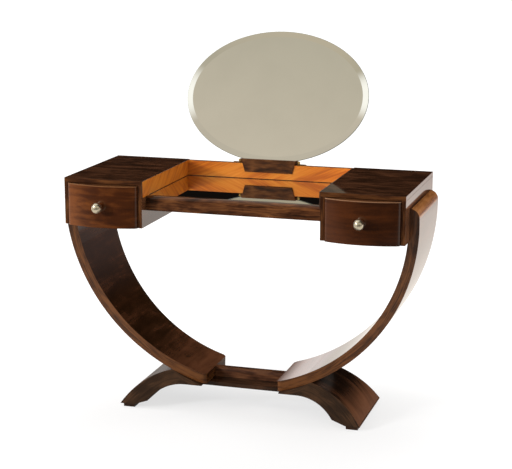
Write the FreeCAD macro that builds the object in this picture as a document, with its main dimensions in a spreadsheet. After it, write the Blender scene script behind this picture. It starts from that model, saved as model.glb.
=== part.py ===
import FreeCAD, Part
import math
import os
import re
import Sketcher

# Dressing table: two drawer boxes joined by a mirrored well, carried on two quarter-round legs with arched
# feet, and an oval mirror that tilts above the well. Millimetres, +Z up, front towards -Y, floor at Z = 0.

doc = FreeCAD.newDocument("dressing_table")
sheet = doc.addObject("Spreadsheet::Sheet", "Sizes")

DRIVING_SIZES = {
    # carcass
    "carcass_width": 1100,
    "carcass_depth": 450,
    "carcass_front": -270.92,
    "box_width": 265,
    "box_height": 150,
    "top_thickness": 14,
    "side_thickness": 13,
    "bottom_thickness": 12,
    "back_thickness": 10,
    "lining_thickness": 3,
    "edge_round": 1.5,
    # drawers
    "drawer_gap": 1,
    "drawer_top_gap": 1.5,
    "running_gap": 0.3,
    "front_thickness": 24,
    "front_proud": 8,
    "front_bow": 22,
    "front_round": 13,
    "front_edge_round": 2,
    "drawer_length": 396,
    "drawer_side_thickness": 10,
    "drawer_side_height": 110,
    "drawer_back_thickness": 10,
    "drawer_back_drop": 8,
    "drawer_bottom_thickness": 5,
    "groove_depth": 4,
    "groove_height": 8,
    "fit_gap": 0.1,
    # knobs
    "knob_diameter": 34,
    "knob_length": 38,
    "knob_neck_diameter": 12,
    "knob_rose_diameter": 18,
    "knob_rose_thickness": 2.5,
    "knob_thread": 12,
    "knob_screw_sink": 22,
    # well between the boxes
    "well_depth": 52,
    "shelf_glass": 5,
    "shelf_thickness": 14,
    "well_rail_height": 46.5,
    "well_rail_thickness": 22,
    "well_rail_setback": 37,
    "well_rail_round": 9,
    "cleat_size": 20,
    "cleat_screw_pitch": 140,
    "panel_thickness": 12,
    "panel_setback": 10.5,
    # legs
    "leg_radius": 577,
    "leg_thickness": 33,
    "leg_relief": 3,
    "leg_reach": 150,
    "leg_centre_drop": 93.5,
    "leg_top_drop": 48,
    "leg_top_depth": 327,
    "leg_end_depth": 214,
    "leg_end_round": 15,
    "leg_screw_gauge": 220,
    "leg_screw_rise": 24,
    "leg_screw_pitch": 42,
    "leg_screw_length": 33,
    # feet and pads
    "arch_height": 89,
    "foot_feather": 3.8,
    "foot_inset": 10,
    "foot_flat": 60,
    "foot_meet": 115,
    "foot_reach": 285,
    "foot_radius": 280,
    "foot_toe_depth": 302,
    "toe_length": 93,
    "heel_height": 27,
    "pad_height": 12,
    "pad_length": 38,
    "pad_width": 40,
    "pad_inset": 9,
    "foot_screw_place": 95,
    "foot_screw_pitch": 120,
    "foot_screw_sink": 4,
    "foot_screw_length": 48,
    # stretcher
    "plate_depth": 138,
    "plate_thickness": 13,
    "plate_lap": 54,
    "plate_screw_pitch": 90,
    "plate_screw_length": 36,
    "stretcher_thickness": 18,
    "stretcher_height": 34,
    "dowel_radius": 4,
    "dowel_length": 40,
    # screws
    "screw_radius": 2,
    "screw_head_radius": 4,
    "screw_head_height": 3,
    # mirror, its cradle and its support
    "mirror_width": 634,
    "mirror_height": 456,
    "mirror_lean": 22,
    "mirror_glass": 5,
    "bevel_width": 20,
    "bevel_depth": 1.8,
    "backboard_thickness": 6,
    "backboard_inset": 8,
    "cradle_width": 200,
    "cradle_radius": 6.5,
    "cradle_rise": 5.5,
    "cradle_wall": 8,
    "glass_drop": 3.6,
    "glass_seat": 3,
    "pivot_gap": 0.8,
    "pivot_setback": 8,
    "pivot_radius": 2.5,
    "pivot_fit": 0.05,
    "pivot_length": 6.5,
    "pivot_head_radius": 4.5,
    "pivot_head_height": 3,
    "ear_radius": 6,
    "bracket_thickness": 2.6,
    "bracket_gap": 0.4,
    "bracket_width": 26,
    "bracket_drop": 32,
    "bracket_screw_pitch": 16,
    "bracket_screw_length": 12,
    "block_top_width": 190,
    "block_bottom_width": 165,
    "block_thickness": 6,
    "block_rise": 15,
    "block_drop": 29,
    "block_screw_pitch": 100,
    "block_screw_length": 16,
}

DERIVED_SIZES = {
    "outer_x": "carcass_width / 2",
    "well_x": "outer_x - box_width",
    "inner_x": "well_x + lining_thickness",
    "bay_inner_x": "inner_x + side_thickness",
    "bay_outer_x": "outer_x - side_thickness",
    "carcass_back": "carcass_front + carcass_depth",
    "middle_y": "carcass_front + carcass_depth / 2",
    "panel_back": "carcass_back - panel_setback",
    "panel_front": "panel_back - panel_thickness",
    "well_back": "panel_front - lining_thickness",
    "leg_outer_radius": "leg_radius + leg_thickness",
    "leg_centre_x": "outer_x - leg_relief - leg_radius",
    "leg_outer_x": "leg_centre_x + leg_outer_radius",
    "leg_end_x": "leg_centre_x + leg_reach",
    "foot_inner_x": "leg_end_x + foot_inset",
    "leg_seat_z": "arch_height + foot_feather",
    "leg_centre_z": "leg_seat_z + sqrt(leg_outer_radius ^ 2 - (leg_reach + foot_inset) ^ 2)",
    "leg_end_z": "leg_centre_z - sqrt(leg_outer_radius ^ 2 - leg_reach ^ 2)",
    "leg_end_top_z": "leg_centre_z - sqrt(leg_radius ^ 2 - leg_reach ^ 2)",
    "top_z": "leg_centre_z + leg_centre_drop",
    "board_z": "top_z - top_thickness",
    "box_bottom_z": "top_z - box_height",
    "floor_z": "box_bottom_z + bottom_thickness",
    "leg_top_z": "top_z - leg_top_drop",
    "leg_ledge_x": "leg_centre_x + sqrt(leg_radius ^ 2 - (leg_centre_z - box_bottom_z) ^ 2)",
    "foot_meet_x": "leg_end_x + foot_meet",
    "foot_meet_z": "leg_centre_z - sqrt(leg_outer_radius ^ 2 - (leg_reach + foot_meet) ^ 2)",
    "leg_taper": "(leg_top_depth - leg_end_depth) / (leg_top_z - leg_end_z)",
    "foot_meet_depth": "leg_end_depth + leg_taper * (foot_meet_z - leg_end_z)",
    "toe_x": "leg_end_x + foot_reach",
    "heel_x": "toe_x - toe_length",
    "pad_outer_x": "toe_x - pad_inset",
    "pad_inner_x": "pad_outer_x - pad_length",
    "pad_outer_y": "foot_toe_depth / 2 - pad_inset",
    "arch_start_x": "foot_inner_x + foot_flat",
    "arch_run": "heel_x - arch_start_x",
    "arch_fall": "arch_height - heel_height",
    "arch_radius": "(arch_run ^ 2 + arch_fall ^ 2) / (2 * arch_fall)",
    "shelf_z": "top_z - well_depth",
    "shelf_top_z": "shelf_z - shelf_glass",
    "shelf_bottom_z": "shelf_top_z - shelf_thickness",
    "well_rail_front": "carcass_front + well_rail_setback",
    "well_rail_back": "well_rail_front + well_rail_thickness",
    "drawer_inner_x": "bay_inner_x + drawer_gap",
    "drawer_outer_x": "bay_outer_x - drawer_gap",
    "drawer_x": "(drawer_inner_x + drawer_outer_x) / 2",
    "drawer_chord": "drawer_outer_x - drawer_inner_x",
    "front_radius": "(drawer_chord ^ 2 / 4 + front_bow ^ 2) / (2 * front_bow)",
    "front_face_y": "carcass_front - front_proud",
    "front_apex_y": "front_face_y - front_bow",
    "front_back_y": "carcass_front + front_thickness - running_gap",
    "front_height": "board_z - drawer_top_gap - box_bottom_z",
    "drawer_back_y": "front_back_y + drawer_length",
    "drawer_low_z": "floor_z + running_gap",
    "drawer_bottom_z": "drawer_low_z + groove_height",
    "drawer_inside_z": "drawer_bottom_z + drawer_bottom_thickness",
    "knob_z": "box_bottom_z + front_height / 2",
    "knob_ball": "knob_diameter / 2",
    "knob_neck": "knob_neck_diameter / 2",
    "knob_centre": "knob_length - knob_ball",
    "knob_neck_end": "knob_centre - sqrt(knob_ball ^ 2 - knob_neck ^ 2)",
    "knob_screw_y": "front_back_y - knob_screw_sink",
    "knob_screw_length": "knob_screw_y - front_apex_y + knob_thread",
    "pivot_y": "panel_front + pivot_setback",
    "pivot_z": "top_z + cradle_radius + pivot_gap",
    "mirror_centre": "mirror_height / 2 - glass_drop",
    "glass_half": "mirror_glass / 2",
    "slot_half": "glass_half + fit_gap",
    "cradle_half": "cradle_width / 2",
    "ear_x": "cradle_half + bracket_gap",
    "ear_outer_x": "ear_x + bracket_thickness",
}

for row, (alias, number) in enumerate(DRIVING_SIZES.items(), start=1):
    sheet.set(f"A{row}", alias)
    sheet.set(f"B{row}", str(number))
    sheet.setAlias(f"B{row}", alias)
doc.recompute()
for row, (alias, formula) in enumerate(DERIVED_SIZES.items(), start=len(DRIVING_SIZES) + 1):
    sheet.set(f"A{row}", alias)
    sheet.set(f"B{row}", f"={formula}")
    sheet.setAlias(f"B{row}", alias)
doc.recompute()

SIZE_NAMES = set(DRIVING_SIZES) | set(DERIVED_SIZES)
SIDES = (("left", -1), ("right", 1))
X_AXIS = FreeCAD.Vector(1, 0, 0)
Y_AXIS = FreeCAD.Vector(0, 1, 0)
Z_AXIS = FreeCAD.Vector(0, 0, 1)
pieces = []


def linked(formula):
    """The formula with each size name pointing at its cell in the sheet."""
    def point_at_cell(word):
        return f"Sizes.{word.group()}" if word.group() in SIZE_NAMES else word.group()
    return re.sub(r"[a-z]\w*", point_at_cell, formula)


def number_of(formula):
    """What a formula of size names comes to."""
    return float(sheet.evalExpression(linked(formula)))


def signed(sign, formula):
    """A place on the right-hand side, or its mirror image on the left."""
    return formula if sign > 0 else f"-({formula})"


def place(thing, x="0", y="0", z="0"):
    """Bind where an object stands to the sheet."""
    for axis, formula in (("x", x), ("y", y), ("z", z)):
        thing.setExpression(f"Placement.Base.{axis}", linked(formula))


def piece(thing, label):
    """Name a finished sub-part and list it for export."""
    thing.Label = label
    pieces.append(thing)
    return thing


def board(name, x, y, z, sign=1):
    """A rectangular board between pairs of places along X, Y and Z, mirrored to the left by sign."""
    low_x, high_x = (signed(sign, end) for end in x[::sign])
    box = doc.addObject("Part::Box", name)
    place(box, low_x, y[0], z[0])
    box.setExpression("Length", linked(f"({high_x}) - ({low_x})"))
    box.setExpression("Width", linked(f"({y[1]}) - ({y[0]})"))
    box.setExpression("Height", linked(f"({z[1]}) - ({z[0]})"))
    return box


def rod(name, start, axis, radius, length):
    """A round bar from a start place along an axis."""
    bar = doc.addObject("Part::Cylinder", name)
    bar.Placement = FreeCAD.Placement(FreeCAD.Vector(), FreeCAD.Rotation(Z_AXIS, axis))
    place(bar, *start)
    bar.setExpression("Radius", linked(radius))
    bar.setExpression("Height", linked(length))
    return bar


def joined(name, parts):
    """Several shapes made one."""
    fused = doc.addObject("Part::MultiFuse", name)
    fused.Shapes = parts
    return fused


def group(label, parts):
    """Separate solids of one kind that share a node."""
    kept = doc.addObject("Part::Compound", label)
    kept.Links = parts
    return piece(kept, label)


def trimmed(label, blank, tools):
    """A blank with each tool's shape taken out of it."""
    blank.Label = f"{label}_blank"
    cut = doc.addObject("Part::Cut", label)
    cut.Base = blank
    cut.Tool = tools[0] if len(tools) == 1 else joined(f"{label}_cutter", tools)
    return piece(cut, label)


def screw(name, start, axis, length, sink="0", kind="screw"):
    """A screw whose head starts at a place, and the hole it needs, counterbored from outside by sink."""
    head = rod(f"{name}_head", start, axis, f"{kind}_head_radius", f"{kind}_head_height")
    shank = rod(f"{name}_shank", start, axis, f"{kind}_radius", length)
    outside = [f"{at} - ({sink}) * {step}" for at, step in zip(start, (axis.x, axis.y, axis.z))]
    mouth = rod(f"{name}_mouth", outside, axis,
                f"{kind}_head_radius + fit_gap", f"{sink} + {kind}_head_height")
    bore = rod(f"{name}_bore", start, axis, f"{kind}_radius + fit_gap", f"{length} + fit_gap")
    return joined(name, [head, shank]), joined(f"{name}_hole", [mouth, bore])


def body_of(label):
    """An empty body named after its sub-part."""
    return doc.addObject("PartDesign::Body", label)


def plane_of(body, role):
    return next(plane for plane in body.Origin.OriginFeatures if plane.Role == role)


def sketch_on(body, role):
    sketch = body.newObject("Sketcher::SketchObject", f"{body.Name}_sketch")
    sketch.AttachmentSupport = [(plane_of(body, role), "")]
    sketch.MapMode = "FlatFace"
    return sketch


def arc_between(start, end, radius, bulge):
    """The short arc between two points, bulging left of the way if bulge is 1, drawn anticlockwise."""
    chord = end - start
    leftward = FreeCAD.Vector(-chord.y, chord.x, 0).normalize()
    reach = math.sqrt(max(radius ** 2 - chord.Length ** 2 / 4, 0))
    centre = (start + end) / 2 - leftward * reach * bulge
    ends = (end, start) if bulge > 0 else (start, end)
    turns = [math.atan2(point.y - centre.y, point.x - centre.x) for point in ends]
    return Part.ArcOfCircle(Part.Circle(centre, Z_AXIS, radius), *turns)


def draw(sketch, corners, arcs):
    """A closed outline with its corners, and the radius of each arc between them, bound to the sheet."""
    points = [FreeCAD.Vector(number_of(x), number_of(y), 0) for x, y in corners]
    heads = []
    tails = []
    for index, start in enumerate(points):
        end = points[(index + 1) % len(points)]
        if index in arcs:
            radius, bulge = arcs[index]
            edge = sketch.addGeometry(arc_between(start, end, number_of(radius), bulge), False)
            forward = bulge < 0
            bend = sketch.addConstraint(Sketcher.Constraint("Radius", edge, number_of(radius)))
            sketch.setExpression(f"Constraints[{bend}]", linked(radius))
        else:
            edge = sketch.addGeometry(Part.LineSegment(start, end), False)
            forward = True
        heads.append((edge, 1 if forward else 2))
        tails.append((edge, 2 if forward else 1))
    for index, (x, y) in enumerate(corners):
        sketch.addConstraint(Sketcher.Constraint("Coincident", *tails[index - 1], *heads[index]))
        for kind, formula in (("DistanceX", x), ("DistanceY", y)):
            tie = sketch.addConstraint(Sketcher.Constraint(kind, -1, 1, *heads[index], number_of(formula)))
            sketch.setExpression(f"Constraints[{tie}]", linked(formula))


def draw_oval(sketch, width, height, centre):
    """An oval of a width and height whose centre lies on the sketch's vertical axis."""
    half_width, half_height, rise = number_of(width) / 2, number_of(height) / 2, number_of(centre)
    middle = FreeCAD.Vector(0, rise, 0)
    outline = Part.Ellipse(middle + X_AXIS * half_width, middle + Y_AXIS * half_height, middle)
    oval = sketch.addGeometry(outline, False)
    sketch.exposeInternalGeometry(oval)
    across, upright = oval + 1, oval + 2
    sketch.addConstraint(Sketcher.Constraint("PointOnObject", oval, 3, -2))
    sketch.addConstraint(Sketcher.Constraint("Horizontal", across))
    for kind, points, formula in (
            ("DistanceY", (-1, 1, oval, 3), centre),
            ("Distance", (across,), width),
            ("Distance", (upright,), height)):
        tie = sketch.addConstraint(Sketcher.Constraint(kind, *points, number_of(formula)))
        sketch.setExpression(f"Constraints[{tie}]", linked(formula))


def pad(body, sketch, length, symmetric=True):
    feature = body.newObject("PartDesign::Pad", f"{body.Name}_pad")
    feature.Profile = sketch
    feature.SideType = "Symmetric" if symmetric else "One side"
    feature.setExpression("Length", linked(length))
    doc.recompute()
    return feature


def pocket(body, sketch, length=None):
    """Cut an outline through the body both ways, or to a length shared by both ways."""
    feature = body.newObject("PartDesign::Pocket", f"{body.Name}_pocket")
    feature.Profile = sketch
    feature.SideType = "Symmetric"
    if length:
        feature.setExpression("Length", linked(length))
    else:
        feature.Type = "ThroughAll"
    doc.recompute()


def rounded(body, radius, wanted):
    """Round over each edge of a body that a test on the edge's two ends picks."""
    base = body.Tip
    names = [f"Edge{number}" for number, edge in enumerate(base.Shape.Edges, start=1)
             if len(edge.Vertexes) == 2 and wanted(edge.Vertexes[0].Point, edge.Vertexes[1].Point)]
    fillet = body.newObject("PartDesign::Fillet", f"{body.Name}_round")
    fillet.Base = (base, names)
    fillet.setExpression("Radius", linked(radius))
    doc.recompute()


def prism(label, role, corners, length, arcs=None, symmetric=True):
    """A body padded from one closed outline."""
    body = body_of(label)
    sketch = sketch_on(body, role)
    draw(sketch, corners, arcs or {})
    pad(body, sketch, length, symmetric)
    return body


def narrowed(body, top, bottom, width):
    """Cut a body's front and back to slope between half depths given at two heights, about its own middle."""
    (top_half, top_z), (bottom_half, bottom_z) = top, bottom
    sketch = sketch_on(body, "YZ_Plane")
    for sign in (-1, 1):
        draw(sketch, [(signed(sign, top_half), top_z), (signed(sign, width), top_z),
                      (signed(sign, width), bottom_z), (signed(sign, bottom_half), bottom_z)], {})
    pocket(body, sketch)


def near(value, formula):
    return abs(value - number_of(formula)) < 1e-4


# Screws of the carcass: legs to box sides, shelf cleats to box sides, feet and stretcher plate to legs.
leg_screws, cleat_screws, foot_screws, plate_screws = [], [], [], []
leg_holes, cleat_holes, foot_holes, plate_holes = {}, {}, {}, {}
for side, sign in SIDES:
    outward = X_AXIS * sign
    leg_holes[side], cleat_holes[side], foot_holes[side], plate_holes[side] = [], [], [], []
    for row, along in (("front", "-"), ("rear", "+")):
        for level in ("low", "high"):
            rise = "leg_screw_rise" if level == "low" else "leg_screw_rise + leg_screw_pitch"
            bolt, hole = screw(
                f"{side}_leg_screw_{row}_{level}",
                (signed(sign, "bay_outer_x"), f"middle_y {along} leg_screw_gauge / 2",
                 f"box_bottom_z + {rise}"),
                outward, "leg_screw_length")
            leg_screws.append(bolt)
            leg_holes[side].append(hole)
        bolt, hole = screw(
            f"{side}_cleat_screw_{row}",
            (signed(sign, "inner_x - cleat_size"), f"middle_y {along} cleat_screw_pitch / 2",
             "shelf_bottom_z - cleat_size / 2"),
            outward, "cleat_size + side_thickness / 2")
        cleat_screws.append(bolt)
        cleat_holes[side].append(hole)
        bolt, hole = screw(
            f"{side}_foot_screw_{row}",
            (signed(sign, "leg_end_x + foot_screw_place"), f"middle_y {along} foot_screw_pitch / 2",
             "arch_height + foot_screw_sink"),
            Z_AXIS, "foot_screw_length", sink="3 * foot_screw_sink")
        foot_screws.append(bolt)
        foot_holes[side].append(hole)
        bolt, hole = screw(
            f"{side}_plate_screw_{row}",
            (signed(sign, "foot_inner_x + plate_lap / 2"), f"middle_y {along} plate_screw_pitch / 2",
             "arch_height - plate_thickness"),
            Z_AXIS, "plate_screw_length")
        plate_screws.append(bolt)
        plate_holes[side].append(hole)
group("leg_screws", leg_screws)
group("cleat_screws", cleat_screws)
group("foot_screws", foot_screws)
group("plate_screws", plate_screws)

# Drawer boxes: the top covers the sides, the bottom and back stand between them.
DEPTH = ("carcass_front", "carcass_back")
for side, sign in SIDES:
    top = prism(
        f"{side}_box_top", "XY_Plane",
        [(signed(sign, x), y) for x, y in (
            ("inner_x", "carcass_front"), ("outer_x", "carcass_front"),
            ("outer_x", "carcass_back"), ("inner_x", "carcass_back"))],
        "top_thickness", symmetric=False)
    inner_edge = signed(sign, "inner_x")
    rounded(top, "edge_round", lambda one, two: (
        near(one.z, "top_thickness") and near(two.z, "top_thickness")
        and not (near(one.x, inner_edge) and near(two.x, inner_edge))))
    place(top, z="board_z")
    piece(top, f"{side}_box_top")
    trimmed(f"{side}_box_outer_side",
            board(f"{side}_outer_side", ("bay_outer_x", "outer_x"), DEPTH, ("box_bottom_z", "board_z"), sign),
            leg_holes[side])
    trimmed(f"{side}_box_inner_side",
            board(f"{side}_inner_side", ("inner_x", "bay_inner_x"), DEPTH, ("box_bottom_z", "board_z"), sign),
            cleat_holes[side])
    bay = ("bay_inner_x", "bay_outer_x")
    piece(board(f"{side}_bottom", bay, ("carcass_front + front_thickness", "carcass_back"),
                ("box_bottom_z", "floor_z"), sign), f"{side}_box_bottom")
    piece(board(f"{side}_back", bay, ("carcass_back - back_thickness", "carcass_back"),
                ("floor_z", "board_z"), sign), f"{side}_box_back")

# Well between the boxes: linings on the box sides and back panel, around a mirror plate on the shelf board.
WELL_WIDTH = ("-inner_x", "inner_x")
block_screws, block_holes = [], []
for side, sign in SIDES:
    bolt, hole = screw(f"{side}_block_screw",
                       (signed(sign, "block_screw_pitch / 2"), "panel_back", "top_z - block_drop / 2"),
                       -Y_AXIS, "block_screw_length")
    block_screws.append(bolt)
    block_holes.append(hole)
group("block_screws", block_screws)

bracket_screws, bracket_holes = [], []
for side, sign in SIDES:
    for level, drop in (("high", "bracket_screw_pitch / 2"), ("low", "bracket_screw_pitch * 3 / 2")):
        bolt, hole = screw(
            f"{side}_bracket_screw_{level}",
            (signed(sign, "ear_x + bracket_width / 2"), "panel_back + bracket_thickness + screw_head_height",
             f"top_z - {drop}"),
            -Y_AXIS, "bracket_screw_length")
        bracket_screws.append(bolt)
        bracket_holes.append(hole)
group("bracket_screws", bracket_screws)

for side, sign in SIDES:
    piece(board(f"{side}_lining", ("well_x", "inner_x"), ("carcass_front", "panel_front"),
                ("shelf_z", "top_z"), sign), f"{side}_well_lining")
panel = board("panel", WELL_WIDTH, ("panel_front", "panel_back"), ("shelf_top_z", "top_z"))
trimmed("well_back_panel", panel, block_holes + bracket_holes)
notch = prism(
    "block_notch", "XZ_Plane",
    [("-block_bottom_width / 2 - fit_gap", "top_z - block_drop - fit_gap"),
     ("block_bottom_width / 2 + fit_gap", "top_z - block_drop - fit_gap"),
     ("block_top_width / 2 + fit_gap", "top_z + block_rise"),
     ("-block_top_width / 2 - fit_gap", "top_z + block_rise")],
    "2 * lining_thickness")
place(notch, y="well_back")
trimmed("well_back_lining", board("back_lining", ("-well_x", "well_x"), ("well_back", "panel_front"),
                                  ("shelf_z", "top_z")), [notch])
piece(board("shelf", WELL_WIDTH, ("well_rail_back", "panel_back"), ("shelf_bottom_z", "shelf_top_z")),
      "shelf_board")
piece(board("shelf_glass", ("fit_gap - well_x", "well_x - fit_gap"),
            ("well_rail_back", "well_back - fit_gap"), ("shelf_top_z", "shelf_z")), "shelf_mirror")
well_rail = prism(
    "front_rail", "YZ_Plane",
    [("well_rail_front + well_rail_round", "shelf_z"), ("well_rail_back", "shelf_z"),
     ("well_rail_back", "shelf_z - well_rail_height"), ("well_rail_front", "shelf_z - well_rail_height"),
     ("well_rail_front", "shelf_z - well_rail_round")],
    "2 * inner_x", {4: ("well_rail_round", 1)})
piece(well_rail, "front_rail")
cleats = []
for side, sign in SIDES:
    cleat = doc.addObject("Part::Cut", f"{side}_cleat")
    cleat.Base = board(f"{side}_cleat_blank", ("inner_x - cleat_size", "inner_x"),
                       ("well_rail_back", "panel_back"),
                       ("shelf_bottom_z - cleat_size", "shelf_bottom_z"), sign)
    cleat.Tool = joined(f"{side}_cleat_cutter", cleat_holes[side])
    cleats.append(cleat)
group("shelf_cleats", cleats)

# Stretcher between the leg ends: an upright rail on a flat plate that laps under both feet.
dowels, dowel_holes = [], {}
for side, sign in SIDES:
    at_end = ("middle_y", "(leg_end_top_z + leg_end_z) / 2")
    dowels.append(rod(f"{side}_dowel", (signed(sign, "leg_end_x - dowel_length / 2"), *at_end), X_AXIS * sign,
                      "dowel_radius", "dowel_length"))
    dowel_holes[side] = rod(f"{side}_dowel_hole",
                            (signed(sign, "leg_end_x - dowel_length / 2 - fit_gap"), *at_end),
                            X_AXIS * sign, "dowel_radius + fit_gap", "dowel_length + 2 * fit_gap")
group("stretcher_dowels", dowels)
trimmed("stretcher_rail",
        board("rail", ("-leg_end_x", "leg_end_x"),
              ("middle_y - stretcher_thickness / 2", "middle_y + stretcher_thickness / 2"),
              ("arch_height", "arch_height + stretcher_height")),
        list(dowel_holes.values()))
trimmed("stretcher_plate",
        board("plate", ("-foot_inner_x - plate_lap", "foot_inner_x + plate_lap"),
              ("middle_y - plate_depth / 2", "middle_y + plate_depth / 2"),
              ("arch_height - plate_thickness", "arch_height")),
        plate_holes["left"] + plate_holes["right"])

# Legs: a quarter-round panel with a straight seat against the box, a rounded top and a ledge under the box.
# Feet: an arch whose top follows the leg, from a thin inner end to the toe. Both narrow to where they meet.
for side, sign in SIDES:
    leg = prism(
        f"{side}_leg", "XZ_Plane",
        [(signed(sign, x), z) for x, z in (
            ("leg_end_x", "leg_end_top_z"), ("leg_ledge_x", "box_bottom_z"), ("outer_x", "box_bottom_z"),
            ("outer_x", "leg_top_z"), ("leg_outer_x", "leg_top_z - (leg_outer_x - outer_x)"),
            ("leg_outer_x", "leg_centre_z"), ("leg_end_x", "leg_end_z"))],
        "leg_top_depth",
        {0: ("leg_radius", -sign), 3: ("leg_outer_x - outer_x", sign), 5: ("leg_outer_radius", sign)})
    narrowed(leg, ("leg_top_depth / 2", "leg_top_z"), ("leg_end_depth / 2", "leg_end_z"), "leg_top_depth")
    end_plane = signed(sign, "leg_end_x")
    rounded(leg, "leg_end_round", lambda one, two: (
        near(one.x, end_plane) and near(two.x, end_plane) and not near(one.z, str(two.z))))
    place(leg, y="middle_y")
    trimmed(f"{side}_leg", leg, leg_holes[side] + foot_holes[side] + plate_holes[side] + [dowel_holes[side]])

    foot = prism(
        f"{side}_foot", "XZ_Plane",
        [(signed(sign, x), z) for x, z in (
            ("foot_inner_x", "arch_height"), ("arch_start_x", "arch_height"), ("heel_x", "heel_height"),
            ("pad_inner_x", "pad_height"), ("toe_x", "pad_height"), ("foot_meet_x", "foot_meet_z"),
            ("foot_inner_x", "leg_seat_z"))],
        "foot_toe_depth",
        {1: ("arch_radius", sign), 4: ("foot_radius", -sign), 5: ("leg_outer_radius", sign)})
    narrowed(foot, ("foot_meet_depth / 2", "foot_meet_z"), ("foot_toe_depth / 2", "pad_height"),
             "foot_toe_depth")
    place(foot, y="middle_y")
    trimmed(f"{side}_foot", foot, foot_holes[side] + plate_holes[side])
pads = [board(f"{side}_{end}_pad", ("pad_inner_x", "pad_outer_x"),
              (f"middle_y + {low}", f"middle_y + {high}"), ("0", "pad_height"), sign)
        for side, sign in SIDES
        for end, low, high in (("front", "(-pad_outer_y)", "(pad_width - pad_outer_y)"),
                               ("rear", "(pad_outer_y - pad_width)", "pad_outer_y"))]
group("foot_pads", pads)

# Drawers: a bowed front, sides and a back, a bottom in grooves, and a turned knob with its screw.
for side, sign in SIDES:
    inner_wall = ("drawer_inner_x", "drawer_inner_x + drawer_side_thickness")
    outer_wall = ("drawer_outer_x - drawer_side_thickness", "drawer_outer_x")
    between = (inner_wall[1], outer_wall[0])
    bottom_span = (f"{between[0]} - groove_depth", f"{between[1]} + groove_depth")
    groove = board(f"{side}_drawer_groove",
                   (f"{bottom_span[0]} - fit_gap", f"{bottom_span[1]} + fit_gap"),
                   ("front_back_y - groove_depth - fit_gap", "drawer_back_y"),
                   ("drawer_bottom_z - fit_gap", "drawer_inside_z"), sign)
    knob_screw, knob_hole = screw(f"{side}_knob_screw", (signed(sign, "drawer_x"), "knob_screw_y", "knob_z"),
                                  -Y_AXIS, "knob_screw_length", sink="knob_screw_sink")
    front = prism(
        f"{side}_drawer_front", "XY_Plane",
        [(signed(sign, x), y) for x, y in (
            ("drawer_inner_x", "front_back_y"), ("drawer_outer_x", "front_back_y"),
            ("drawer_outer_x", "front_face_y"), ("drawer_inner_x", "front_face_y"))],
        "front_height", {2: ("front_radius", sign)}, symmetric=False)
    rounded(front, "front_round", lambda one, two: (
        near(one.y, "front_face_y") and near(two.y, "front_face_y") and not near(one.z, str(two.z))))
    box_face = number_of("carcass_front")
    rounded(front, "front_edge_round", lambda one, two: (
        near(one.z, str(two.z)) and one.y < box_face and two.y < box_face))
    place(front, z="box_bottom_z")
    trimmed(f"{side}_drawer_front", front, [groove, knob_hole])
    piece(knob_screw, f"{side}_knob_screw")
    for wall, span in (("inner", inner_wall), ("outer", outer_wall)):
        trimmed(f"{side}_drawer_{wall}_side",
                board(f"{side}_drawer_{wall}_wall", span, ("front_back_y", "drawer_back_y"),
                      ("drawer_low_z", "drawer_low_z + drawer_side_height"), sign), [groove])
    piece(board(f"{side}_drawer_rear", between, ("drawer_back_y - drawer_back_thickness", "drawer_back_y"),
                ("drawer_inside_z", "drawer_low_z + drawer_side_height - drawer_back_drop"), sign),
          f"{side}_drawer_back")
    piece(board(f"{side}_drawer_base", bottom_span, ("front_back_y - groove_depth", "drawer_back_y"),
                ("drawer_bottom_z", "drawer_inside_z"), sign), f"{side}_drawer_bottom")

    knob = body_of(f"{side}_knob")
    profile = sketch_on(knob, "YZ_Plane")
    draw(profile, [("0", "0"), ("0", "knob_rose_diameter / 2"),
                   ("-knob_rose_thickness", "knob_rose_diameter / 2"), ("-knob_rose_thickness", "knob_neck"),
                   ("-knob_neck_end", "knob_neck"), ("-knob_centre", "knob_ball"), ("-knob_length", "0")],
         {4: ("knob_ball", -1), 5: ("knob_ball", -1)})
    turning = knob.newObject("PartDesign::Revolution", f"{side}_knob_turning")
    turning.Profile = profile
    turning.ReferenceAxis = (profile, ["H_Axis"])
    turning.Angle = 360
    doc.recompute()
    place(knob, signed(sign, "drawer_x"), "front_apex_y", "knob_z")
    trimmed(f"{side}_knob", knob, [knob_hole])

# Mirror support: a block let into the back lining, and two brackets that carry the pivots.
block = prism(
    "mirror_block", "XZ_Plane",
    [("-block_bottom_width / 2", "top_z - block_drop"), ("block_bottom_width / 2", "top_z - block_drop"),
     ("block_top_width / 2", "top_z + block_rise"), ("-block_top_width / 2", "top_z + block_rise")],
    "block_thickness")
rounded(block, "edge_round", lambda one, two: (
    near(one.y, "-block_thickness / 2") and near(two.y, "-block_thickness / 2")))
place(block, y="panel_front - block_thickness / 2")
trimmed("mirror_block", block, block_holes)

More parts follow.
